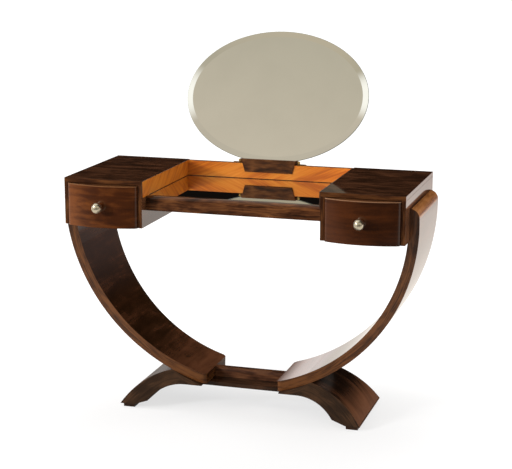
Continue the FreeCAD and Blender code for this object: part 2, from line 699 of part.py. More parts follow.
brackets, pivots, pivot_holes = [], [], []
pivot = ("pivot_y", "pivot_z")
behind = ("panel_back", "panel_back + bracket_thickness")
for side, sign in SIDES:
    axle, axle_hole = screw(f"{side}_pivot_screw",
                            (signed(sign, "ear_outer_x + pivot_fit + pivot_head_height"), *pivot),
                            X_AXIS * -sign,
                            "pivot_head_height + pivot_fit + bracket_thickness + bracket_gap + pivot_length",
                            kind="pivot")
    pivots.append(axle)
    pivot_holes.append(axle_hole)
    outward = X_AXIS * sign
    eye = rod(f"{side}_eye", (signed(sign, "ear_x"), *pivot), outward, "ear_radius", "bracket_thickness")
    ear = board(f"{side}_ear", ("ear_x", "ear_outer_x"), ("pivot_y - ear_radius", behind[1]),
                ("top_z", "pivot_z"), sign)
    leaf = board(f"{side}_leaf", ("ear_x", "ear_x + bracket_width"), behind,
                 ("top_z - bracket_drop", "pivot_z - pivot_head_radius - bracket_gap"), sign)
    axle_bore = rod(f"{side}_axle_bore", (signed(sign, "ear_x"), *pivot), outward,
                    "pivot_radius + pivot_fit", "bracket_thickness")
    bracket = doc.addObject("Part::Cut", f"{side}_bracket")
    bracket.Base = joined(f"{side}_bracket_blank", [eye, ear, leaf])
    bracket.Tool = joined(f"{side}_bracket_cutter",
                          [axle_bore] + [hole for hole in bracket_holes if hole.Name.startswith(side)])
    brackets.append(bracket)
group("pivot_brackets", brackets)
group("pivot_screws", pivots)

# Mirror: a bevelled oval glass with a board behind it, standing in the slot of a round-bottomed cradle. They
# are drawn upright about the pivot and lean back together.


def leaning(body):
    """Stand a body on the pivot and lean it back."""
    body.Placement = FreeCAD.Placement(FreeCAD.Vector(), FreeCAD.Rotation(-X_AXIS, 1))
    body.setExpression("Placement.Rotation.Angle", linked("mirror_lean"))
    place(body, y="pivot_y", z="pivot_z")
    return body


def below(body, level):
    """Cut an oval flat along its lower edge at a height above the pivot."""
    sketch = sketch_on(body, "XZ_Plane")
    draw(sketch, [("-mirror_width / 2", level), ("-mirror_width / 2", f"{level} - mirror_height"),
                  ("mirror_width / 2", f"{level} - mirror_height"), ("mirror_width / 2", level)], {})
    pocket(body, sketch)


glass = body_of("mirror_glass")
oval = sketch_on(glass, "XZ_Plane")
draw_oval(oval, "mirror_width", "mirror_height", "mirror_centre")
plate_of_glass = pad(glass, oval, "mirror_glass")
front_rim = [f"Edge{number}" for number, edge in enumerate(plate_of_glass.Shape.Edges, start=1)
             if near(edge.BoundBox.YMax, "-glass_half")]
bevel = glass.newObject("PartDesign::Chamfer", "mirror_bevel")
bevel.Base = (plate_of_glass, front_rim)
bevel.ChamferType = "Two distances"
bevel.setExpression("Size", linked("bevel_depth"))
bevel.setExpression("Size2", linked("bevel_width"))
doc.recompute()
below(glass, "-glass_seat")
piece(leaning(glass), "mirror_glass")

backing = body_of("mirror_backboard")
oval = sketch_on(backing, "XZ_Plane")
oval.setExpression("AttachmentOffset.Base.z", linked("-glass_half - backboard_thickness"))
draw_oval(oval, "mirror_width - 2 * backboard_inset", "mirror_height - 2 * backboard_inset", "mirror_centre")
pad(backing, oval, "backboard_thickness", symmetric=False)
below(backing, "cradle_rise")
leaning(backing)
piece(backing, "mirror_backboard")

cradle = prism(
    "mirror_cradle", "YZ_Plane",
    [("-cradle_radius", "cradle_rise"), ("-cradle_radius", "0"), ("0", "-cradle_radius"),
     ("cradle_radius", "0"), ("cradle_radius", "cradle_rise")],
    "cradle_width", {1: ("cradle_radius", -1), 2: ("cradle_radius", -1)})
slot = sketch_on(cradle, "XZ_Plane")
draw(slot, [("cradle_wall - cradle_half", "-glass_seat"), ("cradle_half - cradle_wall", "-glass_seat"),
            ("cradle_half - cradle_wall", "cradle_rise"), ("cradle_wall - cradle_half", "cradle_rise")], {})
pocket(cradle, slot, "2 * slot_half")
leaning(cradle)
trimmed("mirror_cradle", cradle, pivot_holes)

doc.recompute()
faults = [thing.Label for thing in doc.Objects if {"Invalid", "Error"} & set(thing.State)]
faults += [thing.Label for thing in pieces if thing.Shape.isNull() or not thing.Shape.isValid()]
if faults:
    raise RuntimeError(f"not built: {faults}")
os.makedirs("parts", exist_ok=True)
for thing in pieces:
    thing.Shape.exportStep(f"parts/{thing.Label}.step")
print(f"{len(pieces)} sub-parts, {sum(len(thing.Shape.Solids) for thing in pieces)} solids")
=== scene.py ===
# %% [markdown]
# # A dressing table with a tilting oval mirror
# The CAD model gives every board, joint and screw of the table in one frame: metres, X along the table, the
# front towards -Y, the floor at Z = 0. Here it gets its looks. A board that is right as it stands keeps its
# CAD mesh and gets a finish. A piece whose curve or edge has to catch the light is worked out again with
# numpy, at the size and place of the CAD node that it replaces.

# %% Load the frame and keep its boxes
import math

import bmesh
import bpy
import numpy as np
from mathutils import Matrix, Vector


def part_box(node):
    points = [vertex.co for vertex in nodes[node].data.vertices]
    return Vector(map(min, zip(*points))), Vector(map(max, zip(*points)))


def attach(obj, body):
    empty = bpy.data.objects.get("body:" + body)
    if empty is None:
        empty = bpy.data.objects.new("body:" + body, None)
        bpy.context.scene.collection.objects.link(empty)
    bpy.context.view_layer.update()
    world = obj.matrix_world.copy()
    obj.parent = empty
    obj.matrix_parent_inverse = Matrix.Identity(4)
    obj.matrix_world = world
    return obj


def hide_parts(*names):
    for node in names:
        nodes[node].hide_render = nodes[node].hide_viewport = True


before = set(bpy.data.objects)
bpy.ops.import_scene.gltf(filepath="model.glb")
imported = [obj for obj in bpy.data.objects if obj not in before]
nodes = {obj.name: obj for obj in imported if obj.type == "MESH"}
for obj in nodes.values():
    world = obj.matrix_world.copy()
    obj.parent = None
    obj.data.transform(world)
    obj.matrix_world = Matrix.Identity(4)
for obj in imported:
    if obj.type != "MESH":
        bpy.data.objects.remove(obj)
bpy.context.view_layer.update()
boxes = {name: np.array(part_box(name)) for name in nodes}
LOW, HIGH = 0, 1  # rows of a node's box
X, Y, Z = 0, 1, 2  # and its columns
MM = 0.001

# %% [markdown]
# ## Where the camera stands
# The eye, the direction and the focal length were fitted to straight edges of the table in the photograph.
# A long lens from four and a half metres away keeps the two boxes nearly the same size, as in furniture
# catalogues. A constraint could aim the camera, but a matrix written from three angles repeats the fit
# exactly.

# %% Camera
IMAGE_WIDTH = 512
FOCAL_PIXELS = 1425.74
SENSOR_MM = 36.0
EYE = Vector((1.3322, -4.3531, 1.5794))
YAW, PITCH, ROLL = -0.29624, 0.21876, 0.00071

forward = Vector((math.sin(YAW) * math.cos(PITCH), math.cos(YAW) * math.cos(PITCH), -math.sin(PITCH)))
level = Vector((math.cos(YAW), -math.sin(YAW), 0))
upright = level.cross(forward)
right = level * math.cos(ROLL) + upright * math.sin(ROLL)
up = upright * math.cos(ROLL) - level * math.sin(ROLL)
lens = bpy.data.cameras.new("catalogue_camera")
lens.sensor_fit, lens.sensor_width = "HORIZONTAL", SENSOR_MM
lens.lens = SENSOR_MM * FOCAL_PIXELS / IMAGE_WIDTH
camera = bpy.data.objects.new("catalogue_camera", lens)
camera.matrix_world = Matrix.Translation(EYE) @ Matrix((right, up, -forward)).transposed().to_4x4()
scene = bpy.context.scene
scene.collection.objects.link(camera)
scene.camera = camera
scene.view_settings.view_transform = "Standard"
print(f"camera: {lens.lens:.1f} mm lens at {tuple(round(v, 3) for v in EYE)}")

# %% [markdown]
# ## Colour and nodes
# Colours are written as the sRGB hex values that a screen shows, and Blender's shaders want linear light,
# so one function turns them. A second one adds a node, with its settings and its links, to a material or
# the world, and a third starts either of them empty. A finish then reads from its pattern down to its
# surface.

# %% Helpers for materials


def linear(colour):
    """An sRGB hex colour as linear red, green, blue and alpha: each channel with the sRGB curve undone."""
    channel = np.array([int(colour[i:i + 2], 16) for i in (1, 3, 5)]) / 255
    channel = np.where(channel <= 0.04045, channel / 12.92, ((channel + 0.055) / 1.055) ** 2.4)
    return (*channel.tolist(), 1.0)


def add(owner, kind, links=None, stops=None, out=0, **settings):
    """Add a node to a material or world. Links name its sockets, with a value or the output that feeds each.
    Stops are the places and colours of a colour ramp. Out is the output that comes back, or None for all.
    A Mix node's sockets go by number: 0 is the share of the second, 2 and 3 are two values, 6 and 7 are two
    colours, and output 2 is the mixed colour."""
    tree = owner.node_tree
    node = tree.nodes.new("ShaderNode" + kind)
    for key, value in settings.items():
        setattr(node, key, value)
    for socket, value in (links or {}).items():
        if isinstance(value, bpy.types.NodeSocket):
            tree.links.new(value, node.inputs[socket])
        else:
            node.inputs[socket].default_value = value
    if stops:
        ramp = node.color_ramp.elements
        ramp.remove(ramp[1])
        ramp[0].position, ramp[0].color = stops[0][0], linear(stops[0][1])
        for place, colour in stops[1:]:
            ramp.new(place).color = linear(colour)
    return node.outputs[out] if node.outputs and out is not None else node.outputs


def blank(name, group=bpy.data.materials):
    """A material or world with an empty node tree."""
    owner = group.new(name)
    owner.use_nodes = True
    owner.node_tree.nodes.clear()
    return owner


print("helpers: linear, add, blank")

# %% [markdown]
# ## The studio
# Polished veneer shows the room as much as its own colour. The oval mirror shows the beige wall in front of
# the table, the tops mirror the unlit studio behind it, and the lit sweep at the rear left gleams in the
# right-hand leg. A room could be built for this, but the world can paint it by direction alone: first the
# wall and the rear, then soft round spots, most of them for lamps, because the lights themselves are kept
# out of reflections. What the camera sees directly stays white.

# %% Wall and rear of the studio
WALL = [(0.0, "#6A655C"), (0.3, "#D4CCBC"), (0.42, "#CEC6B6"), (0.54, "#D6CDBC"), (0.62, "#C4BEAD"),
        (0.67, "#BDB6A3"), (0.74, "#CBC1AC"), (0.79, "#8B8D7C"), (0.84, "#7E8074"), (0.97, "#5B5953")]
UNLIT, GLEAM, SWEEP = linear("#110E0C"), linear("#8A746E"), (1.55, 1.45, 1.4, 1)
REGIONS = {  # an axis of the direction, where on it a region starts and where it is whole
    "front": ("Y", 0.1, -0.5),
    "gleam_low": ("Z", 0.3, 0.0),
    "gleam_side": ("X", 0.05, 0.35),
    "sweep_low": ("Z", 0.165, 0.06),
    "sweep_side": ("X", -0.28, -0.37)}

studio = blank("studio_surround", bpy.data.worlds)
scene.world = studio
way = add(studio, "TexCoord", out="Generated")
axes = add(studio, "SeparateXYZ", {0: way}, out=None)
share = {}
for name, (axis, start, whole) in REGIONS.items():
    share[name] = add(studio, "MapRange", {"Value": axes[axis], "From Min": start, "From Max": whole},
                      interpolation_type="SMOOTHSTEP")
gleam, sweep = (add(studio, "Math", {0: share[f"{name}_low"], 1: share[f"{name}_side"]},
                    operation="MULTIPLY") for name in ("gleam", "sweep"))
wall = add(studio, "ValToRGB", {0: axes["Z"]}, stops=WALL)
rear = add(studio, "Mix", {0: gleam, 6: UNLIT, 7: GLEAM}, data_type="RGBA", out=2)
room = add(studio, "Mix", {0: share["front"], 6: rear, 7: wall}, data_type="RGBA", out=2)
room = add(studio, "Mix", {0: sweep, 6: room, 7: SWEEP}, data_type="RGBA", out=2)
print(f"studio: a wall of {len(WALL)} tones in front, unlit behind but for the sweep and a dim gleam")

# %% Painted lamps
WHITE = (1, 1, 1, 1)
SPOTS = (  # the direction, degrees to the edge of the even core and to the rim, and the light
    ((0.29, -0.93, 0.22), 8, 26, (0.25, 0.24, 0.2)),  # the dim part of the studio round the camera
    ((-0.45, 0.15, 0.88), 20, 50, (0.85, 0.83, 0.77)),  # a glow overhead
    ((-0.489, -0.687, 0.536), 2, 7.5, (1.22, 1.22, 1.17)),  # a lamp for the left of the mirror's bevel
    ((-0.045, -0.792, 0.609), 1, 6.5, (1.22, 1.22, 1.17)),  # and one for its right
    ((-0.702, -0.451, 0.551), 5, 12, (11.0, 10.7, 10.1)))  # the bright one that glints on knobs and edges

for lamp_way, core, rim, light in SPOTS:
    facing = add(studio, "VectorMath", {0: way, 1: lamp_way}, operation="DOT_PRODUCT", out="Value")
    outside, inside = (math.cos(math.radians(angle)) for angle in (rim, core))
    spot = add(studio, "MapRange", {"Value": facing, "From Min": outside, "From Max": inside},
               interpolation_type="SMOOTHSTEP")
    room = add(studio, "Mix", {0: spot, 6: room, 7: (*light, 1)}, data_type="RGBA", out=2)
camera_ray = add(studio, "LightPath", out="Is Camera Ray")
seen = add(studio, "Mix", {0: camera_ray, 6: room, 7: WHITE}, data_type="RGBA", out=2)
sky = add(studio, "Background", {"Color": seen, "Strength": 1.0})
add(studio, "OutputWorld", {"Surface": sky})
print(f"painted {len(SPOTS)} soft spots, and white where the camera looks past the table")

# %% [markdown]
# ## Floor and lights
# The floor is matt white paper that runs back under the table, with its light painted in as a glow. In the
# polished faces the painted glow is brightest behind the table and at the rear left, where it stands for a
# lit sweep, and fades towards the far end. The camera sees it white, with a painted soft shade under the
# table. One plane does for both, with a glow that depends on the place.
# A soft light stands two metres high at the front left, so that a knob throws its shadow to the right, and
# four weaker ones fill in.

# %% Paper
TONE_START, TONE_END = -4.0, 10.0  # the stretch of floor along Y that the tones cover
# Painted light: the glow that reflections see, in tones along Y, stands for lit paper, brightest behind the
# table.
TONES = [(0.06, "#000000"), (0.13, "#89847E"), (0.2, "#C4BFB6"), (0.29, "#D3CDC4"), (0.36, "#F2EBE2"),
         (0.51, "#FFF8F0"), (0.64, "#D4C8C4"), (0.86, "#89736D")]
LIT_PART = {"X": (-0.5, -1.7), "Y": (0.6, 2.0)}  # where the lit sweep starts and where it is whole
LIT_PAPER = (1.14, 1.07, 1.04, 1)
PAPER = [linear("#4A4846"), linear("#919193")]  # as reflections show it, and as the camera sees it
# Painted shade: the glow falls near each centre, under and in front of the table, in place of its shadow.
SHADE_POOLS = (  # in reflections and for the camera: the centre, two radii and the glow at each
    ((0, 0, 0), 0.3, 1.0, 0.3, 1.15),
    ((0, -0.45, 0), 0.35, 1.5, 0.69, 1.0))

paper = blank("matt_white_paper")
spot = add(paper, "TexCoord", out="Object")
ground = add(paper, "SeparateXYZ", {0: spot}, out=None)
camera_ray = add(paper, "LightPath", out="Is Camera Ray")
run = add(paper, "MapRange", {"Value": ground["Y"], "From Min": TONE_START, "From Max": TONE_END})
spread = add(paper, "ValToRGB", {0: run}, stops=TONES)
leftward, rearward = (
    add(paper, "MapRange", {"Value": ground[axis], "From Min": start, "From Max": whole},
        interpolation_type="SMOOTHSTEP") for axis, (start, whole) in LIT_PART.items())
lit = add(paper, "Math", {0: leftward, 1: rearward}, operation="MULTIPLY")
mirrored = add(paper, "Mix", {0: lit, 6: spread, 7: LIT_PAPER}, data_type="RGBA", out=2)
glows = []
for centre, near, far, inside, outside in SHADE_POOLS:
    away = add(paper, "VectorMath", {0: spot, 1: centre}, operation="DISTANCE", out="Value")
    glows.append(add(paper, "MapRange", {"Value": away, "From Min": near, "From Max": far, "To Min": inside,
                                         "To Max": outside}, interpolation_type="SMOOTHSTEP"))
glow = add(paper, "Mix", {0: camera_ray, 2: glows[0], 3: glows[1]})
tint = add(paper, "Mix", {0: camera_ray, 6: mirrored, 7: WHITE}, data_type="RGBA", out=2)
tone = add(paper, "Mix", {0: camera_ray, 6: PAPER[0], 7: PAPER[1]}, data_type="RGBA", out=2)
sheet = add(paper, "BsdfPrincipled", {"Base Color": tone, "Roughness": 0.9, "Specular IOR Level": 0.0,
                                      "Emission Color": tint, "Emission Strength": glow})
add(paper, "OutputMaterial", {"Surface": sheet})
print(f"{paper.name}: {len(TONES)} tones in reflections, white for the camera")

# %% Floor
FLOOR_REACH = 40.0

floor_mesh = bpy.data.meshes.new("paper_floor")
edge = np.array([-FLOOR_REACH, FLOOR_REACH])
across, along = np.meshgrid(edge, edge)
floor_mesh.from_pydata(np.stack((across, along, 0 * across), -1).reshape(-1, 3).tolist(), [], [(0, 1, 3, 2)])
floor_mesh.materials.append(paper)
floor = bpy.data.objects.new("paper_floor", floor_mesh)
scene.collection.objects.link(floor)
print(f"floor: {2 * FLOOR_REACH:.0f} m of paper each way")

# %% Lights
LIGHTS = (  # name, place, aim, size of the square, watts
    ("key_softbox", (-3.8, -3.7, 2.0), (0, -0.2, 0.6), 0.7, 165),
    ("side_softbox", (4.2, 0.9, 2.3), (0, 0, 0.5), 1.6, 70),
    ("fill_softbox", (2.1, -3.2, 3.9), (0, 0, 0.4), 2.2, 22),
    ("left_softbox", (-3.0, -0.1, 3.2), (0, -0.1, 0.6), 1.0, 45),
    ("rear_softbox", (2.2, 4.2, 3.6), (0, 0, 0.5), 2.2, 30))

for name, place, aim, size, watts in LIGHTS:
    lamp = bpy.data.lights.new(name, "AREA")
    lamp.shape, lamp.size, lamp.energy = "SQUARE", size, watts
    light = bpy.data.objects.new(name, lamp)
    facing = (Vector(aim) - Vector(place)).to_track_quat("-Z", "Y").to_matrix().to_4x4()
    light.matrix_world = Matrix.Translation(place) @ facing
    light.visible_glossy = False
    scene.collection.objects.link(light)
print(f"{len(LIGHTS)} soft lights, the strongest at the front left")

# %% [markdown]
# ## Walnut veneer under French polish
# Walnut veneer is sliced thin and laid with the figure on show: dark bands that wander along the grain,
# growth lines and finer streaks between them, short dark pores, and a cloudy ripple across. Shellac on top
# gives a deep gloss. A scanned picture would show its seams on the bends, so the figure is worked out from
# noise stretched along the grain. It reads coordinates in metres with the grain along the first axis: a
# piece's own UV map or, on a CAD board that lies along X, Object coordinates.

# %% Walnut
WAVE_PERIOD = 2 * math.pi / 20  # metres between a Wave Texture's bands at scale 1
PORE = (22 * MM, 1.4 * MM)  # along and across; real pores are 0.2 mm wide, drawn coarser to show
STREAK = (150 * MM, 5 * MM)
CLOUD = (70 * MM, 45 * MM)
LINE_SPACING, LINE_STRETCH = 0.4, 0.3  # growth lines: spacing in band widths, and scale along the grain
LINE_SHARE, STREAK_SHARE, CLOUD_SHARE = 0.09, 0.17, 0.3
MEAN, DARKER, LIGHTER = 0.49, 0.11, 0.13  # the mixed figure's average, and how far off the outer colours lie
PORE_START, PORE_WHOLE, PORE_SHADE = 0.42, 0.30, 0.3
HIGHLIGHT_BLEND = 1 * MM  # over which the painted highlight line fades in


def stretched(owner, place, size, **more):
    """Noise drawn out to a size along and across the grain."""
    along, across = size
    fitted = add(owner, "Mapping", {"Vector": place, "Scale": (1 / along, 1 / across, 1 / across)})
    return add(owner, "TexNoise", {"Vector": fitted, "Scale": 1, **more})


def walnut(name, dark, middle, light, flow=(190 * MM, 26 * MM), swirl=1.2, source="UV", polish=1.0,
           gloss=0.045, calm=1.0, pale=None, top_highlight=None):
    """Walnut from three colours: flowing bands of a length and width, growth lines, streaks, clouds, pores.
    Polish and gloss are the weight and the roughness of the shellac. Calm divides the figure's swing about
    its mean, so less of it shows. Pale is an axis, two places on it and a lift: the colour grows paler from
    the first place to the second, painted light at the paler end and painted shade at the other. Top
    highlight
    is a place on V and a colour: beyond it a painted highlight line takes that colour."""
    wood = blank(name)
    place = add(wood, "TexCoord", out=source)
    axes = add(wood, "SeparateXYZ", {0: place}, out=None)
    bands = stretched(wood, place, flow, Detail=2, Roughness=0.5, Distortion=swirl)
    streaks = stretched(wood, place, STREAK, Detail=3, Roughness=0.55, Distortion=0.4)
    clouds = stretched(wood, place, CLOUD, Detail=3, Roughness=0.5, Distortion=0.6)
    pores = stretched(wood, place, PORE, Detail=2)
    long_way = add(wood, "Mapping", {"Vector": place, "Scale": (LINE_STRETCH, 1, 1)})
    lines = add(wood, "TexWave", {
        "Vector": long_way, "Scale": WAVE_PERIOD / (flow[1] * LINE_SPACING), "Distortion": 14, "Detail": 3,
        "Detail Scale": 0.6, "Detail Roughness": 0.65}, bands_direction="Y", out="Fac")
    figure = add(wood, "Mix", {0: LINE_SHARE, 2: bands, 3: lines})
    figure = add(wood, "Mix", {0: STREAK_SHARE, 2: figure, 3: streaks})
    figure = add(wood, "Mix", {0: CLOUD_SHARE, 2: figure, 3: clouds})
    figure = add(wood, "MapRange", {"Value": figure, "To Min": MEAN - MEAN / calm,
                                    "To Max": MEAN + (1 - MEAN) / calm})
    # Painted light and shade: the colour is lifted paler towards one end of the piece.
    if pale:
        axis, start, end, lift = pale
        painted_lift = add(wood, "MapRange", {"Value": axes[axis], "From Min": start, "From Max": end,
                                       "To Max": lift}, interpolation_type="SMOOTHSTEP")
        figure = add(wood, "Math", {0: figure, 1: painted_lift})
    colour = add(wood, "ValToRGB", {0: figure},
                 stops=[(MEAN - DARKER, dark), (MEAN, middle), (MEAN + LIGHTER, light)])
    # Painted highlight: beyond a place on V the colour turns to a pale line of light along the top edge.
    if top_highlight:
        edge, highlight_colour = top_highlight
        highlight_share = add(wood, "MapRange", {"Value": axes["Y"], "From Min": edge, "From Max": edge + HIGHLIGHT_BLEND})
        colour = add(wood, "Mix", {0: highlight_share, 6: colour, 7: linear(highlight_colour)}, data_type="RGBA", out=2)
    hole = add(wood, "MapRange", {"Value": pores, "From Min": PORE_START, "From Max": PORE_WHOLE,
                                  "To Max": PORE_SHADE})
    colour = add(wood, "Mix", {0: hole, 6: colour, 7: linear(dark)}, data_type="RGBA", out=2)
    relief = add(wood, "Bump", {"Strength": 0.1, "Distance": 0.15 * MM, "Height": pores})
    shader = add(wood, "BsdfPrincipled", {
        "Base Color": colour, "Roughness": 0.5, "Normal": relief, "Specular IOR Level": 0.0,
        "Coat Weight": polish, "Coat Roughness": gloss, "Coat IOR": 1.5})
    add(wood, "OutputMaterial", {"Surface": shader})
    return wood


# Small solid pieces: a tight figure under a thinner polish, so they look plainer than the veneer.
block_walnut = walnut("walnut_block", "#2A150A", "#4A2913", "#684022", source="Object",
                      flow=(110 * MM, 18 * MM), polish=0.8)
dark_walnut = walnut("dark_stained_walnut", "#1C0F08", "#342013", "#4C3020", source="Object", polish=0.8)
stretcher_walnut = walnut("walnut_stretcher", "#2F1A10", "#4E2F20", "#6B452E", source="Object",
                          flow=(110 * MM, 14 * MM), polish=0.7)
for wood in (block_walnut, dark_walnut, stretcher_walnut):
    print(f"walnut for CAD boards: {wood.name}")

# %% [markdown]
# ## Lining and carcass woods
# The well is lined with a bright orange veneer whose figure runs in slanting flames. The lining's front and
# top edges are stained dark, like the boxes beside them. The drawers' own boards are beech: pale tan with
# the short darker flecks of its rays, planed and left bare. The carcass boards behind and below are beech
# too, stained brown. All read Object coordinates, so boards that meet differ.

# %% Lining veneer
QUARTER = math.pi / 2
LICK = (200 * MM, 31.25 * MM)  # along and across a flame
FLAME_LINE = (111.1 * MM, 5.88 * MM)
LINE_PART = 0.45
LINING_FRONT = boxes["left_well_lining"][LOW, Y]
LINING_TOP = boxes["left_well_lining"][HIGH, Z]
EDGE_SKIN = 0.4 * MM


def flame(name, turn, slant):
    """Orange veneer: broad licks and fine lines along the grain, which is turned round Z and then raised.
    What lies within a skin of the lining's front and top takes the stain."""
    wood = blank(name)
    spot = add(wood, "TexCoord", out="Object")
    turned = add(wood, "Mapping", {"Vector": spot, "Rotation": (0, 0, turn)})
    raised = add(wood, "Mapping", {"Vector": turned, "Rotation": (0, slant, 0)})
    lick = stretched(wood, raised, LICK, Detail=2, Distortion=0.7)
    line = stretched(wood, raised, FLAME_LINE, Detail=2, Roughness=0.6, Distortion=0.3)
    figure = add(wood, "Mix", {0: LINE_PART, 2: lick, 3: line})
    colour = add(wood, "ValToRGB", {0: figure},
                 stops=[(0.36, "#B45C18"), (0.5, "#D27820"), (0.64, "#DE8C30")])
    axes = add(wood, "SeparateXYZ", {0: spot}, out=None)
    front = add(wood, "Math", {0: axes["Y"], 1: LINING_FRONT + EDGE_SKIN}, operation="LESS_THAN")
    upper = add(wood, "Math", {0: axes["Z"], 1: LINING_TOP - EDGE_SKIN}, operation="GREATER_THAN")
    edges = add(wood, "Math", {0: front, 1: upper}, operation="MAXIMUM")
    stained = add(wood, "Mix", {0: edges, 6: colour, 7: linear("#3A2212")}, data_type="RGBA", out=2)
    shader = add(wood, "BsdfPrincipled", {"Base Color": stained, "Roughness": 0.42, "Coat Weight": 0.2,
                                          "Coat Roughness": 0.15})
    add(wood, "OutputMaterial", {"Surface": shader})
    return wood


# Orange with paler licks: the warm glow inside the well. The sides' grain rises more steeply than the back's.
back_flame = flame("orange_birch_back_lining", 0, math.radians(24))
side_flame = flame("orange_birch_side_lining", -QUARTER, math.radians(38))
print(f"lining veneer for the back and the sides of the well, stained above {LINING_TOP - EDGE_SKIN:.4f} m")

# %% Beech
BEECH_STREAK = (333 * MM, 11.1 * MM)  # along and across
FLECK = (9 * MM, 1.6 * MM)
FLECK_START, FLECK_WHOLE, FLECK_SHADE = 0.66, 0.74, 0.5


def beech(name, dark, light, turn=0.0):
    """Beech: soft streaks along the grain, which is turned round Z, and short ray flecks over them."""
    wood = blank(name)
    spot = add(wood, "TexCoord", out="Object")
    place = add(wood, "Mapping", {"Vector": spot, "Rotation": (0, 0, turn)})
    streaks = stretched(wood, place, BEECH_STREAK, Detail=5, Roughness=0.6)
    flecks = stretched(wood, place, FLECK, Detail=1)
    colour = add(wood, "ValToRGB", {0: streaks}, stops=[(0.25, dark), (0.75, light)])
    fleck = add(wood, "MapRange", {"Value": flecks, "From Min": FLECK_START, "From Max": FLECK_WHOLE,
                                   "To Max": FLECK_SHADE})
    flecked = add(wood, "Mix", {0: fleck, 6: colour, 7: linear(dark)}, data_type="RGBA", out=2)
    relief = add(wood, "Bump", {"Strength": 0.25, "Distance": 0.2 * MM, "Height": streaks})
    shader = add(wood, "BsdfPrincipled", {"Base Color": flecked, "Roughness": 0.6, "Normal": relief})
    add(wood, "OutputMaterial", {"Surface": shader})
    return wood


# Matt and plain, so an open drawer looks dry beside the polish.
carcass_beech = beech("stained_beech_carcass", "#5B3A22", "#8A5F3A")
drawer_beech = beech("pale_beech_drawer", "#A98257", "#CDAA7D", turn=QUARTER)
print("two beeches, for the carcass and for the drawers")

# %% [markdown]
# ## Glass and metal
# A looking glass is plate glass with silver on its back. Real layers of glass and silver would render
# slowly and look the same: seen from in front it is a mirror with a faintly green grey cast, so the front
# is a metal with almost no roughness. The knobs are plated with nickel, a warm pale grey that is buffed but
# not mirror bright. The pivots are lacquered brass, and the screws are steel with a dull coat of zinc.

# %% Silvered glass and plated metal
DULLER, BRIGHTER = 1.5, 0.6  # times the roughness, in the dull and in the bright blotches


def metal(name, dull, bright, rough, blotch):
    """A metal with two tones in soft blotches of a size in metres, and roughness that follows them."""
    plate = blank(name)
    spot = add(plate, "TexCoord", out="Object")
    marks = add(plate, "TexNoise", {"Vector": spot, "Scale": 1 / blotch, "Detail": 4})
    colour = add(plate, "ValToRGB", {0: marks}, stops=[(0.3, dull), (0.6, bright)])
    rub = add(plate, "MapRange", {"Value": marks, "To Min": rough * DULLER, "To Max": rough * BRIGHTER})
    shader = add(plate, "BsdfPrincipled", {"Base Color": colour, "Roughness": rub, "Metallic": 1.0})
    add(plate, "OutputMaterial", {"Surface": shader})
    return plate


# To the eye: a clear cold mirror, a soft warm shine, a yellow glint and a dull grey.
silver = metal("silvered_plate_glass", "#E3E2DC", "#E6E5DF", 0.01, 120 * MM)
nickel = metal("nickel_plate", "#D2C8AE", "#ECE3CE", 0.26, 9 * MM)
brass = metal("lacquered_brass", "#B08D4E", "#DDBF7E", 0.22, 5 * MM)
steel = metal("zinc_plated_steel", "#77766F", "#A5A49D", 0.35, 3 * MM)
print("metals:", ", ".join(plate.name for plate in (silver, nickel, brass, steel)))

# %% Edge and back of the glass
GRIT = (2 * MM, 2 * MM)  # a ground edge's grit is finer, drawn coarser to show
BRUSH = (83.3 * MM, 5 * MM)  # along and across a brush stroke


def coat(name, mark, detail, dark, light, rough):
    """A coat in two tones, with marks of a size along and across, and an even roughness."""
    skin = blank(name)
    marks = stretched(skin, add(skin, "TexCoord", out="Object"), mark, Detail=detail)
    tone = add(skin, "ValToRGB", {0: marks}, stops=[(0.3, dark), (0.7, light)])
    shader = add(skin, "BsdfPrincipled", {"Base Color": tone, "Roughness": rough})
    add(skin, "OutputMaterial", {"Surface": shader})
    return skin


# A frosted grey-green rim draws the edge of the glass, and brown paint covers the silver behind.
rim_glass = coat("ground_glass_edge", GRIT, 2, "#3E473E", "#6B766A", 0.3)
backing = coat("mirror_backing_paint", BRUSH, 3, "#3B2A24", "#4C3830", 0.55)
print("glass edge and backing paint")

# %% [markdown]
# ## Putting finishes on the CAD boards
# Linings, the shelf's mirror, the stretcher, drawer boxes, brackets and screws are right as the CAD drew
# them. They could be made again like the pieces below, but their edges hardly show, so they only get a
# finish.

# %% Finishes of the CAD nodes
for finish, names in (
        (back_flame, ["well_back_lining"]),
        (side_flame, ["left_well_lining", "right_well_lining"]),
        (silver, ["shelf_mirror"]),
        (stretcher_walnut, ["stretcher_rail"]),
        (dark_walnut, ["stretcher_plate", "foot_pads"]),
        (block_walnut, ["mirror_block", "mirror_cradle"]),
        (brass, ["pivot_brackets", "pivot_screws"]),
        (steel, [name for name in nodes if "_screw" in name and name != "pivot_screws"]),
        (carcass_beech, ["well_back_panel", "shelf_board", "shelf_cleats", "stretcher_dowels",
                         "mirror_backboard", "left_box_bottom", "right_box_bottom", "left_box_back",
                         "right_box_back"]),
        (drawer_beech, [name for name in nodes if "_drawer_" in name and not name.endswith("front")])):
    for name in names:
        nodes[name].data.materials.clear()
        nodes[name].data.materials.append(finish)
    print(f"{finish.name}: {len(names)} CAD nodes")

# %% [markdown]
# ## A builder for curved and eased pieces
# A piece is a few grids of points that share their edges, like the panels of a box. It could be modelled by
# hand from a cube, but a grid keeps every point on its formula. Each grid also carries grain coordinates,
# in metres along and across the grain, as its UV map, so veneer can run the way it was laid. Merging the
# shared points closes the shell. A Bevel modifier then eases the sharp edges, as a polisher's paper does.

# %% Make a piece from grids
SAME_POINT, NO_LENGTH = 1e-6, 1e-7
EASE_SEGMENTS = 2


